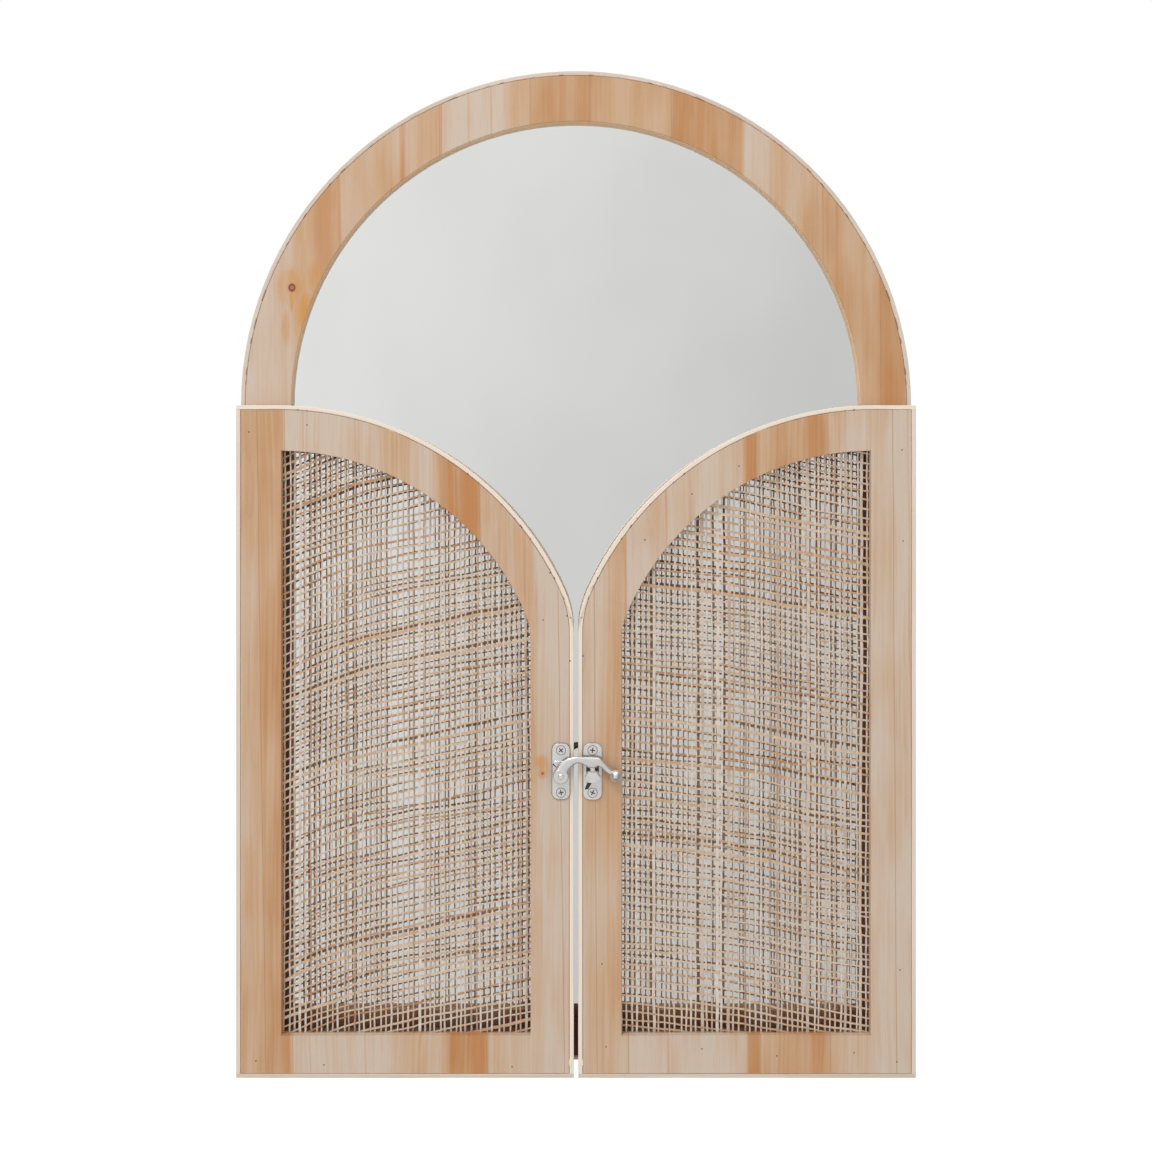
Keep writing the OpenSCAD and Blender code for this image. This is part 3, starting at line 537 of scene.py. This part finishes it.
def mirrorMaterial():
    look = glassLook
    material, tree, surface = startMaterial("silveredGlass")
    x, _, z = placeIn(tree)
    hazeX, hazeZ = look["haze"]
    haze = cloud(tree, vectorOf(tree, times(tree, x, hazeX), 0.0, times(tree, z, hazeZ)), 1.0, 2.0)
    dustPlace = vectorOf(tree, times(tree, x, look["dust"]), 0.0, times(tree, z, look["dust"]))
    dust = cloud(tree, dustPlace, 1.0, 4.0, 0.7)
    tint = blend(tree, between(tree, haze, 0.35, 0.7), look["clear"], look["hazy"])
    tint = blend(tree, between(tree, dust, 0.66, 0.74, 0.0, 0.12), tint, look["dusty"])
    tree.links.new(tint, surface.inputs["Base Color"])
    roughness = between(tree, dust, 0.6, 0.8, look["polish"], look["dustRough"])
    tree.links.new(roughness, surface.inputs["Roughness"])
    surface.inputs["Metallic"].default_value = 1.0
    return material


silvered = mirrorMaterial()

hardboardLook = dict(
    pale=paint(140, 103, 72), dark=paint(104, 72, 48), tint=paint(122, 86, 58),
    pulp=0.9, blotch=0.02, mesh=0.55, depth=0.12 * mm,
)


def hardboardMaterial():
    look = hardboardLook
    material, tree, surface = startMaterial("brownHardboard")
    place = vectorOf(tree, *placeIn(tree))
    pulp = cloud(tree, place, look["pulp"], 5.0, 0.7)
    blotch = cloud(tree, place, look["blotch"], 2.0)
    mesh = tree.nodes.new("ShaderNodeTexVoronoi")
    mesh.inputs["Scale"].default_value = look["mesh"]
    tree.links.new(place, mesh.inputs["Vector"])
    colour = blend(tree, between(tree, pulp, 0.35, 0.65), look["pale"], look["dark"])
    colour = blend(tree, between(tree, blotch, 0.35, 0.7, 0.0, 0.5), colour, look["tint"])
    height = plus(tree, pulp, times(tree, mesh.outputs["Distance"], 0.5))
    finishSurface(tree, surface, colour, spread(tree, pulp, 0.62, 0.82),
                  bumped(tree, height, look["depth"], 0.6))
    return material


hardboard = hardboardMaterial()


# an object from a bmesh, on its body, with its material; slotName is not used. Edges that turn by
# less than smoothUnder, in radians, stay smooth
def keepMesh(name, bm, material, body, slotName, smoothUnder=0.6):
    for face in bm.faces:
        face.smooth = True
    for edge in bm.edges:
        edge.smooth = len(edge.link_faces) == 2 and edge.calc_face_angle(math.pi) < smoothUnder
    mesh = bpy.data.meshes.new(name)
    bm.to_mesh(mesh)
    bm.free()
    piece = bpy.data.objects.new(name, mesh)
    scene.collection.objects.link(piece)
    mesh.materials.append(material)
    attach(piece, body)
    return piece


# the CAD nodes' surfaces, which tell where boards are glued together
nodeSkins = {}
for nodeName, source in nodes.items():
    points = [vert.co for vert in source.data.vertices]
    nodeSkins[nodeName] = BVHTree.FromPolygons(points, [face.vertices for face in source.data.polygons])

# convex edges that turn by more than sharpTurn, in radians, are softened. An edge with the next
# board within gluedReach takes only gluedShare of the rounding, and a face that points forward or
# back by less than wallUnder is an inner wall
dressLook = dict(weld=0.002 * mm, sharpTurn=0.6, gluedReach=0.02 * mm, gluedShare=0.3, wallUnder=0.5)


# a finished copy of a CAD node: joined up, with softened edges. Only edges in front of frontOf
# whose neighbours are longer than shortest take the rounding, so small holes don't hold it back
def dress(nodeName, pieceName, material, slotName, soften, shortest=1.3 * mm, segments=2, frontOf=1.0):
    look = dressLook
    source = nodes[nodeName]
    bm = bmesh.new()
    bm.from_mesh(source.data)
    bmesh.ops.remove_doubles(bm, verts=bm.verts, dist=look["weld"])
    body = body_of(source)[0]
    around = [skin for name, skin in nodeSkins.items()
              if name != nodeName and body_of(nodes[name])[0] == body]
    weight = bm.edges.layers.float.new("bevel_weight_edge")
    for edge in bm.edges:
        nearby = [near.calc_length() for vert in edge.verts for near in vert.link_edges]
        sharp = len(edge.link_faces) == 2 and edge.calc_face_angle(0.0) > look["sharpTurn"]
        middle = (edge.verts[0].co + edge.verts[1].co) / 2
        if sharp and edge.is_convex and min(nearby) > shortest and middle.y <= frontOf:
            glued = any(skin.find_nearest(middle, look["gluedReach"])[0] is not None for skin in around)
            edge[weight] = look["gluedShare"] if glued else 1.0
    innerWall = bm.faces.layers.float.new("innerWall")
    for face in bm.faces:
        face[innerWall] = float(abs(face.normal.y) < look["wallUnder"])
    piece = keepMesh(pieceName, bm, material, body, slotName)
    softEdge = piece.modifiers.new("softEdge", "BEVEL")
    softEdge.width = soften
    softEdge.segments = segments
    softEdge.limit_method = "WEIGHT"
    even = piece.modifiers.new("evenNormals", "WEIGHTED_NORMAL")
    even.weight = 80
    even.keep_sharp = True
    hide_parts(nodeName)
    return piece


print("stage: wooden pieces")
woodPieces = dict(
    frame_face=("frameFaceBoard", frameFir, "fir_face", 0.3 * mm),
    frame_core=("frameCoreRing", coreFir, "fir_core", 0.4 * mm),
    frame_arch_edging=("frameArchStrip", archEdging, "edging_wood", 0.4 * mm),
    frame_base_edging=("frameBaseStrip", baseEdging, "edging_wood", 0.4 * mm),
    backing_board=("backingSheet", hardboard, "hardboard", 0.3 * mm),
    left_door_face=("leftDoorFaceBoard", leftDoorFir, "fir_face", 0.25 * mm),
    left_door_backer=("leftDoorBackFrame", coreFir, "fir_core", 0.4 * mm),
    left_door_curved_edging=("leftDoorCurveStrip", doorCurveEdging, "edging_wood", 0.32 * mm),
    left_door_side_edging=("leftDoorSideStrip", sideEdging, "edging_wood", 0.32 * mm),
    left_door_base_edging=("leftDoorBaseStrip", baseEdging, "edging_wood", 0.32 * mm),
    right_door_face=("rightDoorFaceBoard", rightDoorFir, "fir_face", 0.25 * mm),
    right_door_backer=("rightDoorBackFrame", coreFir, "fir_core", 0.4 * mm),
    right_door_curved_edging=("rightDoorCurveStrip", doorCurveEdging, "edging_wood", 0.32 * mm),
    right_door_side_edging=("rightDoorSideStrip", sideEdging, "edging_wood", 0.32 * mm),
    right_door_base_edging=("rightDoorBaseStrip", baseEdging, "edging_wood", 0.32 * mm),
)
for nodeName, (pieceName, material, slotName, soften) in woodPieces.items():
    dress(nodeName, pieceName, material, slotName, soften)

print("stage: glass and hardware")
dress("mirror_glass", "mirrorPlate", silvered, "mirror", 0.5 * mm)
plateEdges = dict(soften=0.45 * mm, shortest=0.26 * mm, segments=3, frontOf=-34.85 * mm)
dress("latch_pivot_plate", "latchPivotPlate", nickel, "bright_nickel", **plateEdges)
dress("latch_keeper", "latchKeeperPlate", nickel, "bright_nickel", **plateEdges)
# nodes that are shown as they are take their metal by a word of their name
plainMetal = dict(hinge=hingeSteel, hanger=brassPlate, retaining=zincSteel, latch=nickel)
for nodeName, source in nodes.items():
    for word, material in plainMetal.items():
        if word in nodeName:
            for place in source.material_slots:
                place.material = material


# the cast latch arm: a flat-faced bar lofted along the arm's line, with the hub, the pad that
# rests on the keeper and the ball run into one skin. Each point of the line is its place across
# and up from the pivot, half the bar's height and half its thickness, in millimetres
latchArmLook = dict(
    pivot=(-8.8, -38.5, -217.0),
    line=((0, 0, 4.3, 1.35), (1.5, 4.6, 3.4, 1.4), (4.6, 7.7, 2.75, 1.4), (8.4, 9.4, 2.1, 1.4),
          (11.0, 9.5, 1.85, 1.4), (13.6, 9.1, 2.3, 1.4), (17.9, 8.0, 3.4, 1.4), (21.6, 8.3, 2.6, 1.4),
          (24.6, 6.5, 1.75, 1.35), (27.2, 3.9, 1.55, 1.3), (29.5, 2.0, 1.35, 1.25), (32.0, 0.3, 1.5, 1.25)),
    steps=5, sides=32, squareness=0.56,
    hubRadius=4.5, hubHalf=1.5, hubRound=0.4, hubBackRound=0.3, bore=1.23, ball=3.6,
    padSize=(2.6, 2.2, 4.0), padPlace=(18.5, 0.0, 4.97),
    skin=0.15 * mm, calm=4,
)


# a point of the spline through b and c, at t from b to c
def curvePoint(a, b, c, d, t):
    return [0.5 * (2 * q + (r - p) * t + (2 * p - 5 * q + 4 * r - s) * t * t
                   + (3 * q - p - 3 * r + s) * t ** 3)
            for p, q, r, s in zip(a, b, c, d)]


def armBar(bm, look):
    line = look["line"]
    places = []
    for i in range(len(line) - 1):
        around = [line[max(i - 1, 0)], line[i], line[i + 1], line[min(i + 2, len(line) - 1)]]
        places += [curvePoint(*around, k / look["steps"]) for k in range(look["steps"])]
    places.append(list(line[-1]))
    rings = []
    for i, (across, up, half, thick) in enumerate(places):
        before, after = places[max(i - 1, 0)], places[min(i + 1, len(places) - 1)]
        heading = math.atan2(after[1] - before[1], after[0] - before[0])
        ring = bmesh.ops.create_circle(bm, segments=look["sides"], radius=1.0)["verts"]
        for vert in ring:
            side, front = [math.copysign(abs(part) ** look["squareness"], part) * size
                           for part, size in ((vert.co.x, half), (vert.co.y, thick))]
            vert.co = Vector((across - side * math.sin(heading), front, up + side * math.cos(heading)))
        rings.append(list({edge for vert in ring for edge in vert.link_edges}))
    for first, second in zip(rings, rings[1:]):
        bmesh.ops.bridge_loops(bm, edges=first + second)
    for end in (rings[0], rings[-1]):
        bmesh.ops.contextual_create(bm, geom=end)


def armHub(bm, look):
    half, inner, outer, rounded = look["hubHalf"], look["bore"], look["hubRadius"], look["hubRound"]
    profile = ((inner, -half), (outer - rounded, -half), (outer, look["hubBackRound"] - half),
               (outer, half - rounded), (outer - rounded, half), (inner, half))
    verts = [bm.verts.new((radius, -depth, 0)) for radius, depth in profile]
    edges = [bm.edges.new(pair) for pair in zip(verts, verts[1:] + verts[:1])]
    bmesh.ops.spin(bm, geom=verts + edges, cent=(0, 0, 0), axis=(0, 1, 0), angle=math.tau, steps=48,
                   use_merge=True)


def latchArm(look):
    bm = bmesh.new()
    armBar(bm, look)
    armHub(bm, look)
    padPlace = Matrix.Translation(look["padPlace"]) @ Matrix.Diagonal((*look["padSize"], 1.0))
    bmesh.ops.create_cube(bm, size=1.0, matrix=padPlace)
    tip = look["line"][-1]
    bmesh.ops.create_uvsphere(bm, u_segments=32, v_segments=20, radius=look["ball"],
                              matrix=Matrix.Translation((tip[0], 0, tip[1])))
    bmesh.ops.remove_doubles(bm, verts=bm.verts, dist=0.0001)
    bmesh.ops.recalc_face_normals(bm, faces=bm.faces)
    toPivot = Matrix.Translation(Vector(look["pivot"]) * mm) @ Matrix.Scale(mm, 4)
    bmesh.ops.transform(bm, matrix=toPivot, verts=bm.verts)
    draft = bpy.data.meshes.new("armDraft")
    bm.to_mesh(draft)
    bm.free()
    holder = bpy.data.objects.new("armDraft", draft)
    scene.collection.objects.link(holder)
    skin = holder.modifiers.new("skin", "REMESH")
    skin.mode = "VOXEL"
    skin.voxel_size = look["skin"]
    calm = holder.modifiers.new("calm", "SMOOTH")
    calm.factor = 0.5
    calm.iterations = look["calm"]
    cast = bmesh.new()
    cast.from_object(holder, bpy.context.evaluated_depsgraph_get())
    bpy.data.objects.remove(holder)
    piece = keepMesh("latchArmCast", cast, armNickel, "latch_arm", "bright_nickel", smoothUnder=1.4)
    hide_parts("latch_arm")
    return piece


latchArm(latchArmLook)

print("stage: cane")
# in millimetres. Wander is how far a strand strays and over what length, cluster how far it crowds
# with its neighbours and over what width and height. Its width is multiplied by a draw from usual,
# or from broad beyond usualShare of the strands, and ripples by a share over a length. Shift is a
# share of stepX, tone the mean and spread of the strands' shade, rows the faces from crossing to
# crossing, and spare what the net is larger than the opening before it is cut out
caneWeave = dict(
    upright=dict(width=0.95, wander=(0.45, 14), cluster=(1.0, 19, 160)),
    level=dict(width=1.02, wander=(0.75, 15), cluster=(2.4, 110, 16)),
    usual=(0.8, 1.2), broad=(1.5, 1.95), usualShare=0.91, shift=0.2, ripple=(0.16, 9), tone=(0.36, 0.25),
    stepX=3.15, stepZ=4.68, thick=0.3, swing=0.23, middleY=-28.8, crown=0.05, rows=3,
    spareSide=6, spareBelow=14, spareAbove=52, rise=(1.6, 60),
    arcX=174.2, arcZ=-184.1, arcRadius=157.0, blendRadius=33.3, blendX=59.9, blendZ=-136.9,
    innerEdge=26.6, hingeEdge=172.8, baseEdge=-369.7, tuck=5.2,
)


# true where a point, in millimetres from the middle, lies in the door's opening or under its rim
def inOpening(x, z):
    look = caneWeave
    tuck = look["tuck"]
    across = abs(x)
    if not (look["innerEdge"] - tuck < across < look["hingeEdge"] + tuck and z > look["baseEdge"] - tuck):
        return False
    if z < look["blendZ"]:
        return True
    toArc = Vector((across - look["arcX"], z - look["arcZ"]))
    toBlend = Vector((across - look["blendX"], z - look["blendZ"]))
    slope = (look["blendZ"] - look["arcZ"]) / (look["arcX"] - look["blendX"])
    if across < look["blendX"] and 0 < toArc.y < -toArc.x * slope:
        return toBlend.length < look["blendRadius"] + tuck
    if toArc.length < look["arcRadius"] + tuck:
        return True
    return across > look["arcX"] and toArc.y < look["arcRadius"] + tuck


# how far a level strand has risen at x: where it starts from, its first slope, then each change of
# slope, where, and over what width
strandSlopes = dict(
    left=(-100, 0.48, ((-0.28, -145, 14),)),
    right=(100, -0.1, ((0.05, 57, 6), (-0.21, 95, 10), (0.11, 142, 6))),
)


def levelRise(x, side):
    start, slope, bends = strandSlopes["left" if side < 0 else "right"]
    riseBy, riseOver = caneWeave["rise"]
    rise = slope * (x - start) + riseBy * noise.noise(Vector((x / riseOver, 4.0, 0.0)))
    for change, where, wide in bends:
        rise += change * wide * math.log1p(math.exp((x - where) / wide))
    return rise


# a strip of faces. Shape places each point from its place across (-1 to 1) and along (0 to 1)
def strand(bm, tones, tone, segments, shape):
    made = bmesh.ops.create_grid(bm, x_segments=2, y_segments=segments, size=0.5)["verts"]
    for vert in made:
        vert[tones] = tone
        vert.co = shape(vert.co.x * 2, vert.co.y + 0.5)


# the upright or the level strands of one door; side is -1 for the left door and 1 for the right
def weave(side, upright):
    look = caneWeave
    own = look["upright" if upright else "level"]
    sideName = "left" if side < 0 else "right"
    rng = random.Random(41 + side * 7 + upright)
    bm = bmesh.new()
    tones = bm.verts.layers.float.new("strandTone")
    lowX, highX = look["innerEdge"] - look["spareSide"], look["hingeEdge"] + look["spareSide"]
    lowZ = look["baseEdge"] - look["spareBelow"]
    highZ = look["arcZ"] + look["arcRadius"] + look["spareAbove"]
    across = int((highX - lowX) / look["stepX"]) + 1
    upward = int((highZ - lowZ) / look["stepZ"]) + 1
    wanderBy, wanderOver = own["wander"]
    clusterBy, clusterX, clusterZ = own["cluster"]
    rippleBy, rippleOver = look["ripple"]
    for i in range(across if upright else upward):
        tone = min(max(rng.gauss(*look["tone"]), 0.0), 1.0)
        share = rng.uniform(*look["usual" if rng.random() < look["usualShare"] else "broad"])
        width = own["width"] * share
        shift = rng.uniform(-look["shift"], look["shift"]) * look["stepX"]
        parity = 1 if i % 2 else -1
        seed = rng.uniform(0, 200)

        def ripple(along, layer):
            return width / 2 * (1 + rippleBy * noise.noise(Vector((along / rippleOver, seed, layer))))

        def shape(edge, t):
            if upright:
                x = side * (lowX + i * look["stepX"])
                z = lowZ + t * (highZ - lowZ)
                wander = wanderBy * noise.noise(Vector((z / wanderOver, seed, 0.5)))
                wander += clusterBy * noise.noise(Vector((x / clusterX, z / clusterZ, 2.5)))
                phase = math.pi * (z - lowZ - levelRise(x, side)) / look["stepZ"]
                depth = parity * look["swing"] * math.cos(phase)
                x += shift + wander + edge * ripple(z, 7.5)
            else:
                x = side * (lowX + t * (highX - lowX))
                z = lowZ + i * look["stepZ"] + levelRise(x, side)
                wander = wanderBy * noise.noise(Vector((x / wanderOver, seed, 3.5)))
                wander += clusterBy * noise.noise(Vector((x / clusterX, z / clusterZ, 6.5)))
                depth = -parity * look["swing"] * math.cos(math.pi * (abs(x) - lowX) / look["stepX"])
                z += shift + wander + edge * ripple(x, 9.5)
            crown = look["crown"] * (1 - abs(edge))
            return Vector((x, look["middleY"] - depth - crown, z)) * mm

        strand(bm, tones, tone, (upward if upright else across) * look["rows"], shape)
    outside = [face for face in bm.faces if not inOpening(*[c / mm for c in face.calc_center_median().xz])]
    bmesh.ops.delete(bm, geom=outside, context="FACES")
    # all faces are turned forward
    bmesh.ops.recalc_face_normals(bm, faces=bm.faces)
    turned = [face for face in bm.faces if face.normal.y > 0]
    bmesh.ops.reverse_faces(bm, faces=turned)
    name = sideName + ("CaneUprights" if upright else "CaneLevels")
    material = uprightCane if upright else levelCane
    piece = keepMesh(name, bm, material, sideName + "_door", "cane", smoothUnder=1.2)
    body = piece.modifiers.new("body", "SOLIDIFY")
    body.thickness = look["thick"] * mm
    body.offset = 0.0
    body.use_even_offset = False
    return piece


for side in (-1, 1):
    pair = [weave(side, True), weave(side, False)]
    for piece in pair:
        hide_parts(("left" if side < 0 else "right") + "_cane_panel")

print("stage: brads")
# heads of the thin nails, left and right door, across and up in millimetres
bradHeads = dict(
    radius=0.5, height=0.34, rounded=0.05, middleY=-33.86,
    left=((-191.6, -16.2), (-157.6, -12.1), (-147.6, -387.0), (-187.5, -384.6), (-15.2, -98.7),
          (-5.3, -123.9), (-19.3, -126.3), (-3.5, -150.3), (-37.5, -388.1)),
    right=((4.1, -147.4), (40.4, -79.4), (68.0, -52.5), (95.5, -36.1), (191.0, -26.7), (191.6, -80.0),
           (189.8, -331.3), (188.0, -385.2), (162.9, -379.9), (117.7, -381.7), (73.8, -377.6),
           (17.6, -376.4), (15.2, -327.8)),
)


def brads(side):
    look = bradHeads
    radius, height = look["radius"] * mm, look["height"] * mm
    turn = Matrix.Rotation(math.pi / 2, 4, "X")
    bm = bmesh.new()
    for across, up in look[side]:
        place = Matrix.Translation(Vector((across, look["middleY"], up)) * mm) @ turn
        made = bmesh.ops.create_cone(bm, cap_ends=True, segments=14, radius1=radius, radius2=0.9 * radius,
                                     depth=height, matrix=place)
        rim = list({edge for vert in made["verts"] for edge in vert.link_edges})
        bmesh.ops.bevel(bm, geom=rim, offset=look["rounded"] * mm, affect="EDGES", segments=1, profile=0.5,
                        material=-1)
    bmesh.ops.recalc_face_normals(bm, faces=bm.faces)
    return keepMesh(side + "DoorBrads", bm, bradSteel, side + "_door", "hinge_steel")


brads("left")
brads("right")

print("stage: camera, floor and light")
# the photo's view point, in metres
viewLook = dict(place=(0.0, -0.8, -0.056), lens=40.86, shiftUp=-0.066)


def photoView():
    look = viewLook
    camera = bpy.data.cameras.new("photoView")
    camera.sensor_width = 36.0
    camera.lens = look["lens"]
    camera.shift_y = look["shiftUp"]
    camera.clip_start = 0.01
    view = bpy.data.objects.new("photoView", camera)
    view.location = look["place"]
    view.rotation_euler = (math.pi / 2, 0, 0)
    scene.collection.objects.link(view)
    scene.camera = view


photoView()

floorLook = dict(level=-0.75, size=6.0, tone=(0.86, 0.86, 0.86, 1.0), white=0.42)


# a pale floor that keeps the object's shadow, shows white to the camera and isn't seen in the mirror
def floorPiece():
    look = floorLook
    bm = bmesh.new()
    bmesh.ops.create_grid(bm, x_segments=1, y_segments=1, size=look["size"],
                          matrix=Matrix.Translation((0, 0, look["level"])))
    mesh = bpy.data.meshes.new("paleFloor")
    bm.to_mesh(mesh)
    bm.free()
    floor = bpy.data.objects.new("paleFloor", mesh)
    scene.collection.objects.link(floor)
    material, tree, surface = startMaterial("paleFloor")
    surface.inputs["Base Color"].default_value = look["tone"]
    surface.inputs["Roughness"].default_value = 0.9
    surface.inputs["Specular IOR Level"].default_value = 0.1
    path = tree.nodes.new("ShaderNodeLightPath")
    glow = tree.nodes.new("ShaderNodeEmission")
    join(tree, times(tree, path.outputs["Is Camera Ray"], look["white"]), glow.inputs["Strength"])
    added = tree.nodes.new("ShaderNodeAddShader")
    clear = tree.nodes.new("ShaderNodeBsdfTransparent")
    tree.links.new(surface.outputs[0], added.inputs[0])
    tree.links.new(glow.outputs[0], added.inputs[1])
    seen = mixShaders(tree, glassRay(tree, path), added.outputs[0], clear.outputs[0])
    output = next(step for step in tree.nodes if step.type == "OUTPUT_MATERIAL")
    tree.links.new(seen, output.inputs[0])
    mesh.materials.append(material)


floorPiece()

# white behind the object, an even studio for its light, and a graded one in its reflections: a pale
# panel above, and darker sides, floor and right end. Each sets in over a zone of the direction
# across or up, and topZone is where the sides end again
studioLook = dict(
    fill=0.74, middle=0.69, toRight=-0.45, toTop=0.24, panel=1.15, sides=0.16,
    panelZone=(0.46, 0.62), sideZone=(0.5, 0.75), floorZone=(-0.5, -0.72), topZone=(0.75, 0.5),
    endZone=(0.42, 0.62),
)


def studio():
    look = studioLook
    white = (1.0, 1.0, 1.0, 1.0)
    world = bpy.data.worlds.new("studio")
    scene.world = world
    world.use_nodes = True
    tree = world.node_tree
    tree.nodes.clear()
    source = tree.nodes.new("ShaderNodeTexCoord")
    split = tree.nodes.new("ShaderNodeSeparateXYZ")
    tree.links.new(source.outputs["Generated"], split.inputs[0])
    x, _, z = split.outputs
    grade = timesPlus(tree, x, look["toRight"], look["middle"])
    grade = timesPlus(tree, z, look["toTop"], grade)
    grade = blend(tree, between(tree, z, *look["panelZone"]), grade, (look["panel"],) * 3 + (1.0,))
    aside = between(tree, calc(tree, "ABSOLUTE", x), *look["sideZone"])
    below = between(tree, z, *look["floorZone"])
    dim = times(tree, most(tree, aside, below), between(tree, z, *look["topZone"]))
    dim = most(tree, dim, between(tree, x, *look["endZone"]))
    grade = blend(tree, dim, grade, (look["sides"],) * 3 + (1.0,))
    path = tree.nodes.new("ShaderNodeLightPath")
    lights = []
    for colour, strength in ((white, look["fill"]), (grade, 1.0), (white, 1.0)):
        light = tree.nodes.new("ShaderNodeBackground")
        join(tree, colour, light.inputs["Color"])
        light.inputs["Strength"].default_value = strength
        lights.append(light)
    even, graded, behind = [light.outputs[0] for light in lights]
    inner = mixShaders(tree, glassRay(tree, path), even, graded)
    outer = mixShaders(tree, path.outputs["Is Camera Ray"], inner, behind)
    output = tree.nodes.new("ShaderNodeOutputWorld")
    tree.links.new(outer, output.inputs[0])


studio()

lampLook = dict(place=(-0.7, -1.35, 1.9), size=1.1, watts=22.0)


# one soft lamp above the object, in front of it and to the left
def softLamp():
    look = lampLook
    lamp = bpy.data.lights.new("softLamp", "AREA")
    lamp.shape = "DISK"
    lamp.size = look["size"]
    lamp.energy = look["watts"]
    holder = bpy.data.objects.new("softLamp", lamp)
    holder.location = look["place"]
    holder.rotation_euler = (-Vector(look["place"])).to_track_quat("-Z", "Y").to_euler()
    scene.collection.objects.link(holder)


softLamp()

print("stage: finish")
